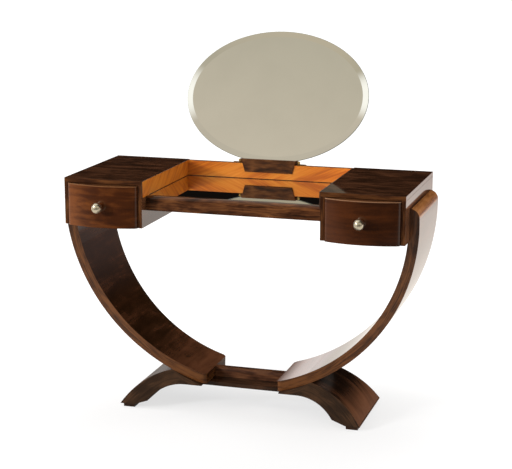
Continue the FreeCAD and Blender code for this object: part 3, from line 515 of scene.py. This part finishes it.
def piece(name, grids, body, replaced, ease=0.0, sharp=35):
    """One closed shell from grids of (places, grain, finish): each cell of a grid is a four-sided face.
    Edges that turn by more than a sharp angle in degrees stay crisp, and the ease rounds those."""
    places, quads, grain, slots, finishes, start = [], [], [], [], [], 0
    for place, flat, finish in grids:
        rows, columns = place.shape[:2]
        corner = start + np.arange(rows * columns).reshape(rows, columns)
        round_cell = corner[:-1, :-1], corner[1:, :-1], corner[1:, 1:], corner[:-1, 1:]
        quad = np.stack(round_cell, -1).reshape(-1, 4)
        if finish not in finishes:
            finishes.append(finish)
        places.append(place.reshape(-1, 3))
        grain.append(flat.reshape(-1, 2))
        quads.append(quad)
        slots.append(np.full(len(quad), finishes.index(finish)))
        start += rows * columns
    quads, grain = np.concatenate(quads), np.concatenate(grain)
    mesh = bpy.data.meshes.new(name)
    mesh.from_pydata(np.concatenate(places).tolist(), [], quads.tolist())
    mesh.uv_layers.new(name="grain").data.foreach_set("uv", grain[quads.ravel()].ravel())
    mesh.polygons.foreach_set("material_index", np.concatenate(slots))
    mesh.polygons.foreach_set("use_smooth", np.ones(len(quads), bool))
    for finish in finishes:
        mesh.materials.append(finish)
    shell = bmesh.new()
    shell.from_mesh(mesh)
    bmesh.ops.remove_doubles(shell, verts=shell.verts, dist=SAME_POINT)
    bmesh.ops.dissolve_degenerate(shell, edges=shell.edges, dist=NO_LENGTH)
    bmesh.ops.recalc_face_normals(shell, faces=shell.faces)
    shell.to_mesh(mesh)
    gaps = sum(not edge.is_manifold for edge in shell.edges)
    shell.free()
    mesh.set_sharp_from_angle(angle=math.radians(sharp))
    made = bpy.data.objects.new(name, mesh)
    scene.collection.objects.link(made)
    if ease:
        arris = made.modifiers.new("eased_edges", "BEVEL")
        arris.width, arris.segments, arris.limit_method = ease, EASE_SEGMENTS, "ANGLE"
        arris.angle_limit, arris.harden_normals = math.radians(sharp), True
    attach(made, body)
    if replaced:
        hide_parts(*replaced)
    print(f"{name}: {len(mesh.polygons)} faces, {gaps} open edges")


print(f"builder: piece, which merges points closer than {SAME_POINT} m")

# %% Strips between two curves


def strip(first, second, along, breadth, finish, cross=False):
    """A grid between two curves of N points. Grain runs along the curves, or across from one to the other.
    Breadth is how far across the sheet of veneer the first curve lies."""
    away = np.linalg.norm(second - first, axis=-1)
    one = np.stack((along, np.full(len(along), breadth)), -1)
    two = np.stack((along, breadth + away), -1)
    flat = np.stack((one, two), 1)
    return np.stack((first, second), 1), flat[..., ::-1] if cross else flat, finish


def caps(first, second, depth, breadth, finish):
    """The grids that close two faces at their ends. A face is a pair of curves, and a cap joins two pairs."""
    ends = [[np.array([curve[end] for curve in pair]) for pair in (first, second)] for end in (0, -1)]
    return [strip(one, two, np.array([0, depth]), breadth, finish) for one, two in ends]


def length_along(curve):
    """How far along a curve each of its points lies."""
    return np.concatenate(([0], np.cumsum(np.linalg.norm(np.diff(curve, axis=0), axis=-1))))


print("builders: strip, caps, length_along")

# %% [markdown]
# ## The boxes' tops and sides
# These boards carry the largest polished faces, and their long edges catch a thin line of light. A bevel on
# the CAD mesh would meet its loose triangles, so each is made again as a plain board with its own veneer on
# every face and all edges eased.

# %% Veneered boards
# Calm mid brown for the sides, darker strips for the edges, and dark swirls for the tops.
outer_walnut = walnut("walnut_outer_veneer", "#482B19", "#613D27", "#7C4E33", flow=(340 * MM, 60 * MM),
                      swirl=0.5, calm=2.2)
edge_walnut = walnut("walnut_edge_strip", "#331B0F", "#4D2D18", "#684022", flow=(120 * MM, 16 * MM),
                     polish=0.7)
top_walnut = walnut("walnut_top_veneer", "#1F1109", "#321D12", "#4E301F", flow=(150 * MM, 40 * MM),
                    swirl=1.6, polish=0.45)
BOARD_EASE = 0.5 * MM
LEAF = np.array([0.37, 0.53])  # how far apart on the sheet two boards' leaves of veneer are cut
FACE_STEP = np.array([0, 0.11])  # and the two opposite faces of one board


def board(name, finish, edge_finish, end_finish, grain_axis, leaf):
    """A board from its CAD box: six faces, each a grid of 2 by 2 points, with the grain along one axis."""
    low, high = boxes[name]
    size = high - low
    thin = int(np.argmin(size))
    unit = np.array([[0, 0], [0, 1], [1, 0], [1, 1]], float).reshape(2, 2, 2)
    grids = []
    for axis in (X, Y, Z):
        one, two = [a for a in (X, Y, Z) if a != axis]
        for end in (LOW, HIGH):
            spot = np.zeros((2, 2, 3))
            spot[..., one], spot[..., two], spot[..., axis] = unit[..., 0], unit[..., 1], end
            place = low + spot * size
            along = grain_axis if grain_axis != axis else (one if size[one] > size[two] else two)
            other = two if along == one else one
            flat = place[..., [along, other]] + leaf * LEAF + end * FACE_STEP
            grids.append((place, flat, finish if axis == thin else end_finish if axis == X else edge_finish))
    piece(name + "_veneered", grids, "carcass", [name], ease=BOARD_EASE)


for side, leaf in (("left", 1), ("right", 4)):
    board(f"{side}_box_top", top_walnut, edge_walnut, outer_walnut, X, leaf)
    board(f"{side}_box_outer_side", outer_walnut, edge_walnut, edge_walnut, Y, leaf + 1)
    board(f"{side}_box_inner_side", outer_walnut, edge_walnut, edge_walnut, Y, leaf + 2)

# %% [markdown]
# ## Legs
# A leg is a panel bent to nearly a quarter circle. Its inner and outer outlines are arcs round one
# centre, walked together from the foot to the box. The outer one ends in a small round over the box side.
# The panel is deepest at the top and narrows evenly towards the foot, and its lower end has rounded upright
# corners. A Simple Deform modifier could bend a flat panel, but the taper and the round are easier to place
# on the arcs themselves. The veneer's grain runs across the bend, and the edges are covered by strips that
# follow the curve.

# %% Leg outline
leg_low, leg_high = boxes["right_leg"]
MIDDLE_Y = (leg_low[Y] + leg_high[Y]) / 2
LEG_OUTER, LEG_THICK, END_ROUND = 610 * MM, 33 * MM, 15 * MM
LEG_INNER = LEG_OUTER - LEG_THICK
BOX_X, BOX_BOTTOM = boxes["right_box_outer_side"][HIGH, X], boxes["right_box_outer_side"][LOW, Z]
TOP_ROUND, TOP_TURN = leg_high[X] - BOX_X, math.radians(80)
SHOULDER_IN, SHOULDER_UP = 0.5 * MM, 26 * MM  # a station of the outer line between the bend and the round
CORNER_STEPS, BEND_STEPS, ROUND_STEPS = 7, 49, 9
centre_x = leg_high[X] - LEG_OUTER
LEG_CENTRE = np.array([centre_x, leg_low[Z] + math.sqrt(LEG_OUTER ** 2 - (leg_low[X] - centre_x) ** 2)])


def arc_at_x(x, radius):
    """Points on the lower right of a circle round the legs' centre, at given x."""
    return np.stack((x, LEG_CENTRE[1] - np.sqrt(radius ** 2 - (x - LEG_CENTRE[0]) ** 2)), -1)


def arc_round(centre, start, end, radius, count):
    """Points on a circle round a centre, evenly spaced in angle between two of its points."""
    first, last = (math.atan2(*(point - centre)[::-1]) for point in (start, end))
    angle = np.linspace(first, last, count)
    return centre + radius * np.stack((np.cos(angle), np.sin(angle)), -1)


def bend(radius):
    """The arc from the rounded corners of the lower end up to the bottom of the box."""
    corners = arc_at_x(leg_low[X] + END_ROUND * (1 - np.cos(np.linspace(0, QUARTER, CORNER_STEPS))), radius)
    rise = LEG_CENTRE[1] - BOX_BOTTOM
    ledge = np.array([LEG_CENTRE[0] + math.sqrt(radius ** 2 - rise ** 2), BOX_BOTTOM])
    return np.concatenate((corners, arc_round(LEG_CENTRE, corners[-1], ledge, radius, BEND_STEPS)[1:]))


over = np.linspace(0, TOP_TURN, ROUND_STEPS)
round_z = leg_high[Z] - TOP_ROUND
beside_box = np.array([[BOX_X, BOX_BOTTOM], [BOX_X, LEG_CENTRE[1]]])
shoulder = np.array([[leg_high[X] - SHOULDER_IN, BOX_BOTTOM + SHOULDER_UP], [leg_high[X], LEG_CENTRE[1]]])
up_the_box = np.stack((np.full(ROUND_STEPS, BOX_X), np.linspace(round_z, leg_high[Z], ROUND_STEPS)), -1)
over_the_top = np.stack((BOX_X + TOP_ROUND * np.cos(over), round_z + TOP_ROUND * np.sin(over)), -1)
inner_line = np.concatenate((bend(LEG_INNER), beside_box, up_the_box))
outer_line = np.concatenate((bend(LEG_OUTER), shoulder, over_the_top))
print(f"leg outline: {len(inner_line)} stations, outer arc {length_along(outer_line)[-1]:.3f} m long")

# %% Legs
LEG_END_DEPTH = 214 * MM
LEG_CUTS = {"inner": 0.2, "outer": 1.3, "round": 1.8, "front": 0.5, "back": 0.8, "ends": 2.0}  # breadths
# The inside grows paler towards the foot, painted light on its lower end. The round over the box is a
# lighter, golden walnut, painted light where it faces up. The edges darken towards the top, painted shade
# under the box.
leg_walnut = walnut("walnut_leg_veneer", "#1E0F07", "#3A2313", "#784B33", flow=(340 * MM, 60 * MM),
                    swirl=0.5, calm=2.7, pale=("Y", 260 * MM, 40 * MM, 0.108))
# Painted light: a lighter, golden walnut for the round where it faces up.
lit_round_walnut = walnut("walnut_rounded_edge_painted_light", "#7F4D28", "#A86C3B", "#C4854F", flow=(190 * MM, 12 * MM),
                      swirl=0.6)
# Painted shade: the edge strips darken towards the top, where the box shades them.
leg_edge_walnut = walnut("walnut_leg_edge", "#28150B", "#442714", "#6C4223", flow=(180 * MM, 16 * MM),
                         polish=0.7, pale=("X", 850 * MM, 300 * MM, 0.09))
LEG_EASE = 0.9 * MM
SIDES = (("left", -1), ("right", 1))


def leg_depth(height):
    """The leg's depth, which grows evenly with height from its end to its top."""
    taper = (leg_high[Y] - leg_low[Y] - LEG_END_DEPTH) / (leg_high[Z] - leg_low[Z])
    return LEG_END_DEPTH + taper * (height - leg_low[Z])


def front_and_back(line, half, sign):
    """An outline in x and z, half a depth in front of and behind the table's middle, on one side of it."""
    return [np.stack((sign * line[:, 0], MIDDLE_Y + way * half, line[:, 1]), -1) for way in (-1, 1)]


def leg(side, sign):
    """Both outlines at their half depth, less the round of the lower corners, with strips between them."""
    faces = []
    for line in (inner_line, outer_line):
        near_end = np.clip(END_ROUND - (line[:, 0] - leg_low[X]), 0, END_ROUND)
        cut = END_ROUND - np.sqrt(END_ROUND ** 2 - near_end ** 2)
        faces.append(front_and_back(line, leg_depth(line[:, 1]) / 2 - cut, sign))
    along = length_along(outer_line)
    flat = len(outer_line) - ROUND_STEPS
    bent, rounded = ([curve[part] for curve in faces[1]] for part in (slice(0, flat + 1), slice(flat, None)))
    grids = [strip(*faces[0], along, LEG_CUTS["inner"], leg_walnut, cross=True),
             strip(*bent, along[:flat + 1], LEG_CUTS["outer"], outer_walnut, cross=True),
             strip(*rounded, along[flat:], LEG_CUTS["round"], lit_round_walnut, cross=True)]
    for pair, end in zip(zip(*faces), ("front", "back")):
        grids.append(strip(*pair, along, LEG_CUTS[end], leg_edge_walnut))
    grids += caps(*faces, LEG_END_DEPTH, LEG_CUTS["ends"], edge_walnut)
    piece(f"{side}_leg_bent_panel", grids, "carcass", [f"{side}_leg"], ease=LEG_EASE)


for side, sign in SIDES:
    leg(side, sign)

# %% [markdown]
# ## Feet
# A foot is an arch under the leg. Its top first follows the leg's curve, then falls to the toe on an arc of
# its own; underneath it is flat where the stretcher's plate bears on it, then hollow, then slopes to the
# pads. It is deepest at the toe. Like the leg it is two outlines at a half depth, so the same helpers
# serve.

# %% Foot outline
foot_low, foot_high = boxes["right_foot"]
ARCH_START, MEET_X, HEEL, TOE_FLAT = 190 * MM, 235 * MM, 312 * MM, 358 * MM
ARCH_Z, HEEL_Z, FOOT_RADIUS = boxes["stretcher_plate"][HIGH, Z], 27 * MM, 280 * MM
FLAT_STEPS, TOP_STEPS, HOLLOW_STEPS, SLOPE_STEPS = 14, 40, 25, 8


def arc_through(start, end, radius, count):
    """Points on the upper arc of a radius between two points: its centre lies below the chord's middle."""
    chord = end - start
    reach = np.linalg.norm(chord)
    normal = np.array([chord[1], -chord[0]]) / reach
    centre = (start + end) / 2 + normal * math.sqrt(radius ** 2 - reach ** 2 / 4)
    return arc_round(centre, start, end, radius, count)


follow = arc_at_x(np.linspace(foot_low[X], MEET_X, FLAT_STEPS), LEG_OUTER)
toe_tip = np.array([foot_high[X], foot_low[Z]])
top_line = np.concatenate((follow[:-1], arc_through(follow[-1], toe_tip, FOOT_RADIUS, TOP_STEPS)[:-1]))
arch_run, arch_fall = HEEL - ARCH_START, ARCH_Z - HEEL_Z
arch_radius = (arch_run ** 2 + arch_fall ** 2) / (2 * arch_fall)
hollow_x = np.linspace(ARCH_START, HEEL, HOLLOW_STEPS)
hollow_z = ARCH_Z - arch_radius + np.sqrt(arch_radius ** 2 - (hollow_x - ARCH_START) ** 2)
under_line = np.concatenate((
    np.linspace((foot_low[X], ARCH_Z), (ARCH_START, ARCH_Z), FLAT_STEPS)[:-1],
    np.stack((hollow_x, hollow_z), -1),
    np.linspace((HEEL, HEEL_Z), (TOE_FLAT, foot_low[Z]), SLOPE_STEPS)[1:],
    np.linspace((TOE_FLAT, foot_low[Z]), toe_tip, SLOPE_STEPS)[1:]))
print(f"foot outline: {len(top_line)} stations above, {len(under_line)} below")

# %% Feet
FOOT_CUTS = {"top": 0.3, "under": 1.1, "front": 0.6, "back": 0.9, "ends": 2.4}  # breadths
# Painted shade: nearly black where the foot leaves the leg, in the leg's shadow, and paler towards the toe,
# under a dull polish.
foot_top_walnut = walnut("walnut_foot_veneer", "#140B07", "#1E120B", "#7C4F35", flow=(320 * MM, 40 * MM),
                         swirl=0.6, polish=0.5, gloss=0.25, calm=5.0, pale=("X", 190 * MM, 310 * MM, 0.115))
foot_walnut = walnut("walnut_foot_edge", "#20120A", "#312014", "#483020", flow=(120 * MM, 16 * MM),
                     polish=0.4)
FOOT_EASE = 0.8 * MM


def foot(side, sign):
    """The lines above and below, at a half depth that grows evenly from where the leg leaves to the toe."""
    toe_depth, meet_z = foot_high[Y] - foot_low[Y], follow[-1, 1]
    spread = (toe_depth - leg_depth(meet_z)) / (meet_z - foot_low[Z])
    faces = [front_and_back(line, (leg_depth(meet_z) + spread * (meet_z - line[:, 1])) / 2, sign)
             for line in (top_line, under_line)]
    along = length_along(top_line)
    grids = [strip(*face, along, FOOT_CUTS[where], foot_top_walnut)
             for face, where in zip(faces, ("top", "under"))]
    for pair, end in zip(zip(*faces), ("front", "back")):
        grids.append(strip(*pair, along, FOOT_CUTS[end], foot_walnut))
    grids += caps(*faces, toe_depth, FOOT_CUTS["ends"], edge_walnut)
    piece(f"{side}_foot_arch", grids, "carcass", [f"{side}_foot"], ease=FOOT_EASE)


for side, sign in SIDES:
    foot(side, sign)

# %% [markdown]
# ## Drawer fronts
# Each front is bowed: seen from above, its face is an arc that turns into the ends through small rounds.
# The veneer runs across the face with its figure in long waves, and a pale line along the top edge is a
# painted highlight. The sides are let into the front's ends with dovetails, which show as pale wedges in the
# walnut when a drawer is pulled out. Cutting them as geometry would change nothing but the colour of a flat
# end, so they are drawn in its material.

# %% Dovetails
TAIL_PITCH, TAIL_HALF, TAIL_DEPTH, TAIL_SLOPE = 34 * MM, 8 * MM, 15 * MM, 1 / 7
TAIL_GRAIN = (16.7 * MM, 1.43 * MM)  # along and across


def dovetailed(name):
    """Walnut with pale tails let in from one edge: depth runs along U and height along V, and a tail is
    wider the deeper it goes."""
    wood = blank(name)
    place = add(wood, "TexCoord", out="UV")
    axes = add(wood, "SeparateXYZ", {0: place}, out=None)
    off_middle = add(wood, "Math", {0: axes["Y"], 1: TAIL_PITCH / 2}, operation="PINGPONG")
    width = add(wood, "Math", {0: axes["X"], 1: TAIL_SLOPE, 2: TAIL_HALF}, operation="MULTIPLY_ADD")
    between = add(wood, "Math", {0: off_middle, 1: width}, operation="LESS_THAN")
    shallow = add(wood, "Math", {0: axes["X"], 1: TAIL_DEPTH}, operation="LESS_THAN")
    tail = add(wood, "Math", {0: between, 1: shallow}, operation="MULTIPLY")
    grain = stretched(wood, place, TAIL_GRAIN, Detail=3)
    brown, pale = (add(wood, "ValToRGB", {0: grain}, stops=[(0.3, dark), (0.7, light)])
                   for dark, light in (("#341C0F", "#573419"), ("#A27A4F", "#C9A577")))
    colour = add(wood, "Mix", {0: tail, 6: brown, 7: pale}, data_type="RGBA", out=2)
    shader = add(wood, "BsdfPrincipled", {"Base Color": colour, "Roughness": 0.55})
    add(wood, "OutputMaterial", {"Surface": shader})
    return wood


joint_wood = dovetailed("walnut_with_beech_dovetails")
print(f"dovetails: {TAIL_PITCH / MM:.0f} mm apart, {TAIL_DEPTH / MM:.0f} mm deep")

# %% Front veneers
front_low, front_high = boxes["right_drawer_front"]
FRONT_CUTS = {"face": 0.3, "back": 0.9, "under": 1.2, "over": 0.46}  # breadths
FRONT_STARTS = {"left": 50 * MM, "right": 1550 * MM}  # where along the sheet each front's leaf begins
# Painted highlight: a pale line below each front's top edge stands for light glinting on the eased edge.
HIGHLIGHT_BELOW_TOP = 3.5 * MM  # below the top edge
highlight_from = FRONT_CUTS["face"] + front_high[Z] - front_low[Z] - HIGHLIGHT_BELOW_TOP
# Two leaves that don't match: a lively red brown one at the left, and a darker and calmer one at the right.
# Painted light: each front grows paler towards its left end, where the key light falls on the bow.
front_walnuts = {
    "left": walnut("walnut_left_front_veneer", "#33180A", "#47230E", "#6F3D1A", flow=(150 * MM, 45 * MM),
                   swirl=1.8, polish=0.9, calm=1.6, top_highlight=(highlight_from, "#7A5234"),
                   pale=("X", FRONT_STARTS["left"] + 120 * MM, FRONT_STARTS["left"], 0.115)),
    "right": walnut("walnut_right_front_veneer", "#291308", "#331809", "#4C260F", flow=(260 * MM, 40 * MM),
                    swirl=1.0, polish=0.9, calm=1.6, top_highlight=(highlight_from, "#8F6A50"),
                    pale=("X", FRONT_STARTS["right"] + 200 * MM, FRONT_STARTS["right"] + 10 * MM, 0.0875))}
# Painted highlight: the print below gives its depth under the top edge.
print(f"front veneers: stain rubbed through {HIGHLIGHT_BELOW_TOP / MM:.1f} mm from the top")

# %% Bowed fronts
FRONT_BOW, FRONT_ROUND, FRONT_EASE = 22 * MM, 13 * MM, 3 * MM
END_STEPS, BOW_STEPS = 9, 60
FRONT_X = (front_low[X] + front_high[X]) / 2


def bowed_line():
    """The face seen from above: a round, the bow and a round, as points from one end to the other."""
    half = (front_high[X] - front_low[X]) / 2
    radius = (half ** 2 + FRONT_BOW ** 2) / (2 * FRONT_BOW)
    centre_y = front_low[Y] + radius
    reach = half - FRONT_ROUND
    small = np.array([-reach, centre_y - math.sqrt((radius - FRONT_ROUND) ** 2 - reach ** 2)])
    lean = math.asin(reach / (radius - FRONT_ROUND))
    swing = np.linspace(QUARTER, lean, END_STEPS)
    end = small + FRONT_ROUND * np.stack((-np.sin(swing), -np.cos(swing)), -1)
    angle = np.linspace(-lean, lean, BOW_STEPS)
    bow = np.stack((radius * np.sin(angle), centre_y - radius * np.cos(angle)), -1)
    return np.concatenate((end[:-1], bow, (end * (-1, 1))[::-1][1:]))


def drawer_front(side, sign):
    """The bowed line and a straight line behind it, both carried from the bottom to the top of the front."""
    line = bowed_line()
    x, straight = sign * FRONT_X + line[:, 0], np.full(len(line), front_high[Y])
    face, back = ([np.stack((x, y, np.full(len(line), z)), -1) for z in (front_low[Z], front_high[Z])]
                  for y in (line[:, 1], straight))
    along = length_along(line) + FRONT_STARTS[side]
    grids = [strip(*face, along, FRONT_CUTS["face"], front_walnuts[side]),
             strip(*back, along, FRONT_CUTS["back"], edge_walnut),
             strip(face[0], back[0], along, FRONT_CUTS["under"], edge_walnut),
             strip(face[1], back[1], along, FRONT_CUTS["over"], edge_walnut)]
    for end in (0, -1):
        low, high = (np.array([rows[height][end] for rows in (back, face)]) for height in (LOW, HIGH))
        grids.append(strip(low, high, length_along(low), 0.0, joint_wood))
    piece(f"{side}_bowed_front", grids, f"{side}_drawer", [f"{side}_drawer_front"],
          ease=FRONT_EASE)


for side, sign in SIDES:
    drawer_front(side, sign)

# %% [markdown]
# ## Knobs
# A knob is turned on a lathe, so here too it is one profile carried round an axis. A Screw modifier would
# do the same, but the grid also gives the pole and the seam exactly. A thin rose lies on the drawer, a
# hollow runs up to the neck, and the ball ends with a shallow turned ring at its front.

# %% Turned knobs
KNOB_Y, KNOB_Z = front_low[Y], (front_low[Z] + front_high[Z]) / 2
BALL, BALL_CENTRE, NECK, ROSE = 17 * MM, 21 * MM, 6 * MM, 9 * MM
ROSE_FLAT, ROSE_ROUND = 1.5 * MM, 1.0 * MM
HOLLOW_START, HOLLOW_RUN, HOLLOW_RISE = 2.6 * MM, 2.3 * MM, 2.0 * MM
RING_DEPTH, RING_ANGLE, RING_SPREAD = 0.35 * MM, 0.36, 0.05  # the angles in radians from the knob's front
ROSE_STEPS, BALL_STEPS, AROUND = 6, 60, 64


def knob(side, sign):
    """A profile of distance from the drawer and radius, turned through a full circle round a line along Y."""
    swing = np.linspace(0, QUARTER, ROSE_STEPS)
    rose = np.stack((ROSE_FLAT + ROSE_ROUND * np.sin(swing), ROSE - ROSE_ROUND * (1 - np.cos(swing))), -1)
    hollow = np.stack((HOLLOW_START + HOLLOW_RUN * (1 - np.cos(swing)),
                       NECK + HOLLOW_RISE * (1 - np.sin(swing))), -1)
    turn = np.linspace(math.pi - math.asin(NECK / BALL), 0, BALL_STEPS)
    reach = BALL - RING_DEPTH * np.exp(-((turn - RING_ANGLE) / RING_SPREAD) ** 2)
    ball = np.stack((BALL_CENTRE + reach * np.cos(turn), reach * np.sin(turn)), -1)
    profile = np.concatenate((np.array([[0, 0], [0, ROSE]]), rose, hollow, ball))
    angle = np.linspace(0, 2 * math.pi, AROUND + 1)
    out, radius = profile[:, :1], profile[:, 1:]
    place = np.stack((sign * FRONT_X + radius * np.cos(angle), KNOB_Y - out + 0 * angle,
                      KNOB_Z + radius * np.sin(angle)), -1)
    place[:, -1] = place[:, 0]
    flat = np.stack((length_along(profile)[:, None] + 0 * angle, radius * angle), -1)
    piece(f"{side}_turned_knob", [(place, flat, nickel)], f"{side}_drawer", [f"{side}_knob"],
          sharp=40)


for side, sign in SIDES:
    knob(side, sign)

# %% [markdown]
# ## Oval mirror
# The glass is an oval plate with a 20 mm bevel ground round its front. The bevel turns the reflection by
# about ten degrees, which is what draws the pale line round a bevelled mirror. Smooth shading would blur
# that line, so the flat and the bevel stay crisp facets, and the oval is a row of rings moved in from its
# rim.

# %% Bevelled oval
HALF_WIDE, HALF_HIGH = boxes["mirror_glass"][HIGH, X], 228 * MM
PIVOT, LEAN = boxes["pivot_screws"].mean(0), math.radians(22)
OVAL_UP, SEAT = 224.4 * MM, -3 * MM  # from the pivot to the oval's centre, and to the flat that it stands on
GLASS_HALF, BEVEL, BEVEL_DEPTH, ARRIS = 2.5 * MM, 20 * MM, 1.8 * MM, 1.0 * MM
OVAL_STEPS = 289

angle = np.linspace(0, 2 * math.pi, OVAL_STEPS)
rim = np.stack((HALF_WIDE * np.cos(angle), HALF_HIGH * np.sin(angle)), -1)
outward = np.stack((HALF_HIGH * np.cos(angle), HALF_WIDE * np.sin(angle)), -1)
outward /= np.linalg.norm(outward, axis=-1, keepdims=True)


def oval(inset, depth):
    """The rim moved in along its normal, at a depth through the glass, cut at the seat and leant back.
    Without an inset all points lie at the centre."""
    flat = 0 * rim if inset is None else rim - inset * outward
    x, y, z = flat[:, 0], np.full(len(flat), depth), np.maximum(OVAL_UP + flat[:, 1], SEAT)
    leant = x, y * math.cos(LEAN) + z * math.sin(LEAN), z * math.cos(LEAN) - y * math.sin(LEAN)
    ring = PIVOT + np.stack(leant, -1)
    ring[-1] = ring[0]
    return ring


edge_y = BEVEL_DEPTH - GLASS_HALF
rings = [oval(None, -GLASS_HALF), oval(BEVEL, -GLASS_HALF), oval(ARRIS, edge_y - ARRIS * BEVEL_DEPTH / BEVEL),
         oval(0.0, edge_y + ARRIS), oval(0.0, GLASS_HALF), oval(None, GLASS_HALF)]
finishes = (silver, silver, rim_glass, rim_glass, backing)
piece("bevelled_oval_mirror", [strip(one, two, length_along(rim), 0.0, finish)
                               for one, two, finish in zip(rings, rings[1:], finishes)],
      "mirror", ["mirror_glass"], sharp=3)

# %% [markdown]
# ## Rail in front of the well
# A walnut rail closes the well in front. Its upper front edge is rounded over, which a plane and paper
# would do, so it is a profile carried along X, with its grain along the rail.

# %% Front rail
# Mid brown with a short figure, which keeps the narrow rail from looking striped.
rail_walnut = walnut("walnut_rail", "#2A170C", "#4F2E1B", "#74492A", flow=(110 * MM, 18 * MM), polish=0.8)
rail_low, rail_high = boxes["front_rail"]
RAIL_ROUND, RAIL_EASE, RAIL_STEPS = 9 * MM, 0.6 * MM, 12
CAP_CUT = 3.0  # how far off on the sheet the ends' veneer is cut

swing = np.linspace(0, QUARTER, RAIL_STEPS)
section = np.concatenate((
    np.array([[rail_high[Y], rail_high[Z]], [rail_high[Y], rail_low[Z]], [rail_low[Y], rail_low[Z]]]),
    np.stack((rail_low[Y] + RAIL_ROUND * (1 - np.cos(swing)),
              rail_high[Z] - RAIL_ROUND * (1 - np.sin(swing))), -1)))
loop = np.concatenate((section, section[:1]))
ends = [np.column_stack((np.full(len(loop), x), loop)) for x in (rail_low[X], rail_high[X])]
rail_caps = [np.stack((end, np.broadcast_to(end[:-1].mean(0), end.shape)), 1) for end in ends]
girth, run = length_along(loop), rail_high[X] - rail_low[X]
flat = np.stack((np.stack((0 * girth, girth), -1), np.stack((0 * girth + run, girth), -1)), 1)
piece("rounded_front_rail", [(np.stack(ends, 1), flat, rail_walnut)]
      + [(cap, cap[..., 1:] + CAP_CUT, rail_walnut) for cap in rail_caps],
      "carcass", ["front_rail"], ease=RAIL_EASE)

# %% [markdown]
# ## Painted shade round the shelf mirror
# A thin dark quarter round along the joint between the lining and the mirrored shelf is painted shade: it
# stands for the shadow in the gap there. It shows twice, once by reflection, and draws the line at the
# lining's foot. A bevelled curve would do, but a quarter round carried along three sides of the well gets
# its mitres from the path's own corners.

# %% Dark strip of painted shade
SHADE_STRIP, SHADE_STRIP_STEPS = 1.8 * MM, 6
WELL_X, WELL_BACK = boxes["well_back_lining"][HIGH, X], boxes["well_back_lining"][LOW, Y]
SHELF_Z = boxes["shelf_mirror"][HIGH, Z]

path = np.array([[-WELL_X, rail_high[Y]], [-WELL_X, WELL_BACK], [WELL_X, WELL_BACK], [WELL_X, rail_high[Y]]])
inward = np.array([[1, 0], [1, -1], [-1, -1], [-1, 0]])
swing = np.linspace(0, QUARTER, SHADE_STRIP_STEPS)
reach, rise = (np.concatenate(([0], curve, [0])) * SHADE_STRIP for curve in (np.cos(swing), np.sin(swing)))
spots = path[:, None] + inward[:, None] * reach[:, None]
shade_strip = np.concatenate((spots, np.broadcast_to(SHELF_Z + rise[:, None], (len(path), len(rise), 1))), -1)
shade_strip_caps = [np.stack((shade_strip[end], np.broadcast_to(shade_strip[end].mean(0), shade_strip[end].shape)), 1) for end in (0, -1)]
# Painted shade: a dark strip in place of the shadow in the gap at the lining's foot.
piece("shelf_painted_shade_strip", [(grid, grid[..., :2], dark_walnut) for grid in (shade_strip, *shade_strip_caps)], "carcass", [])
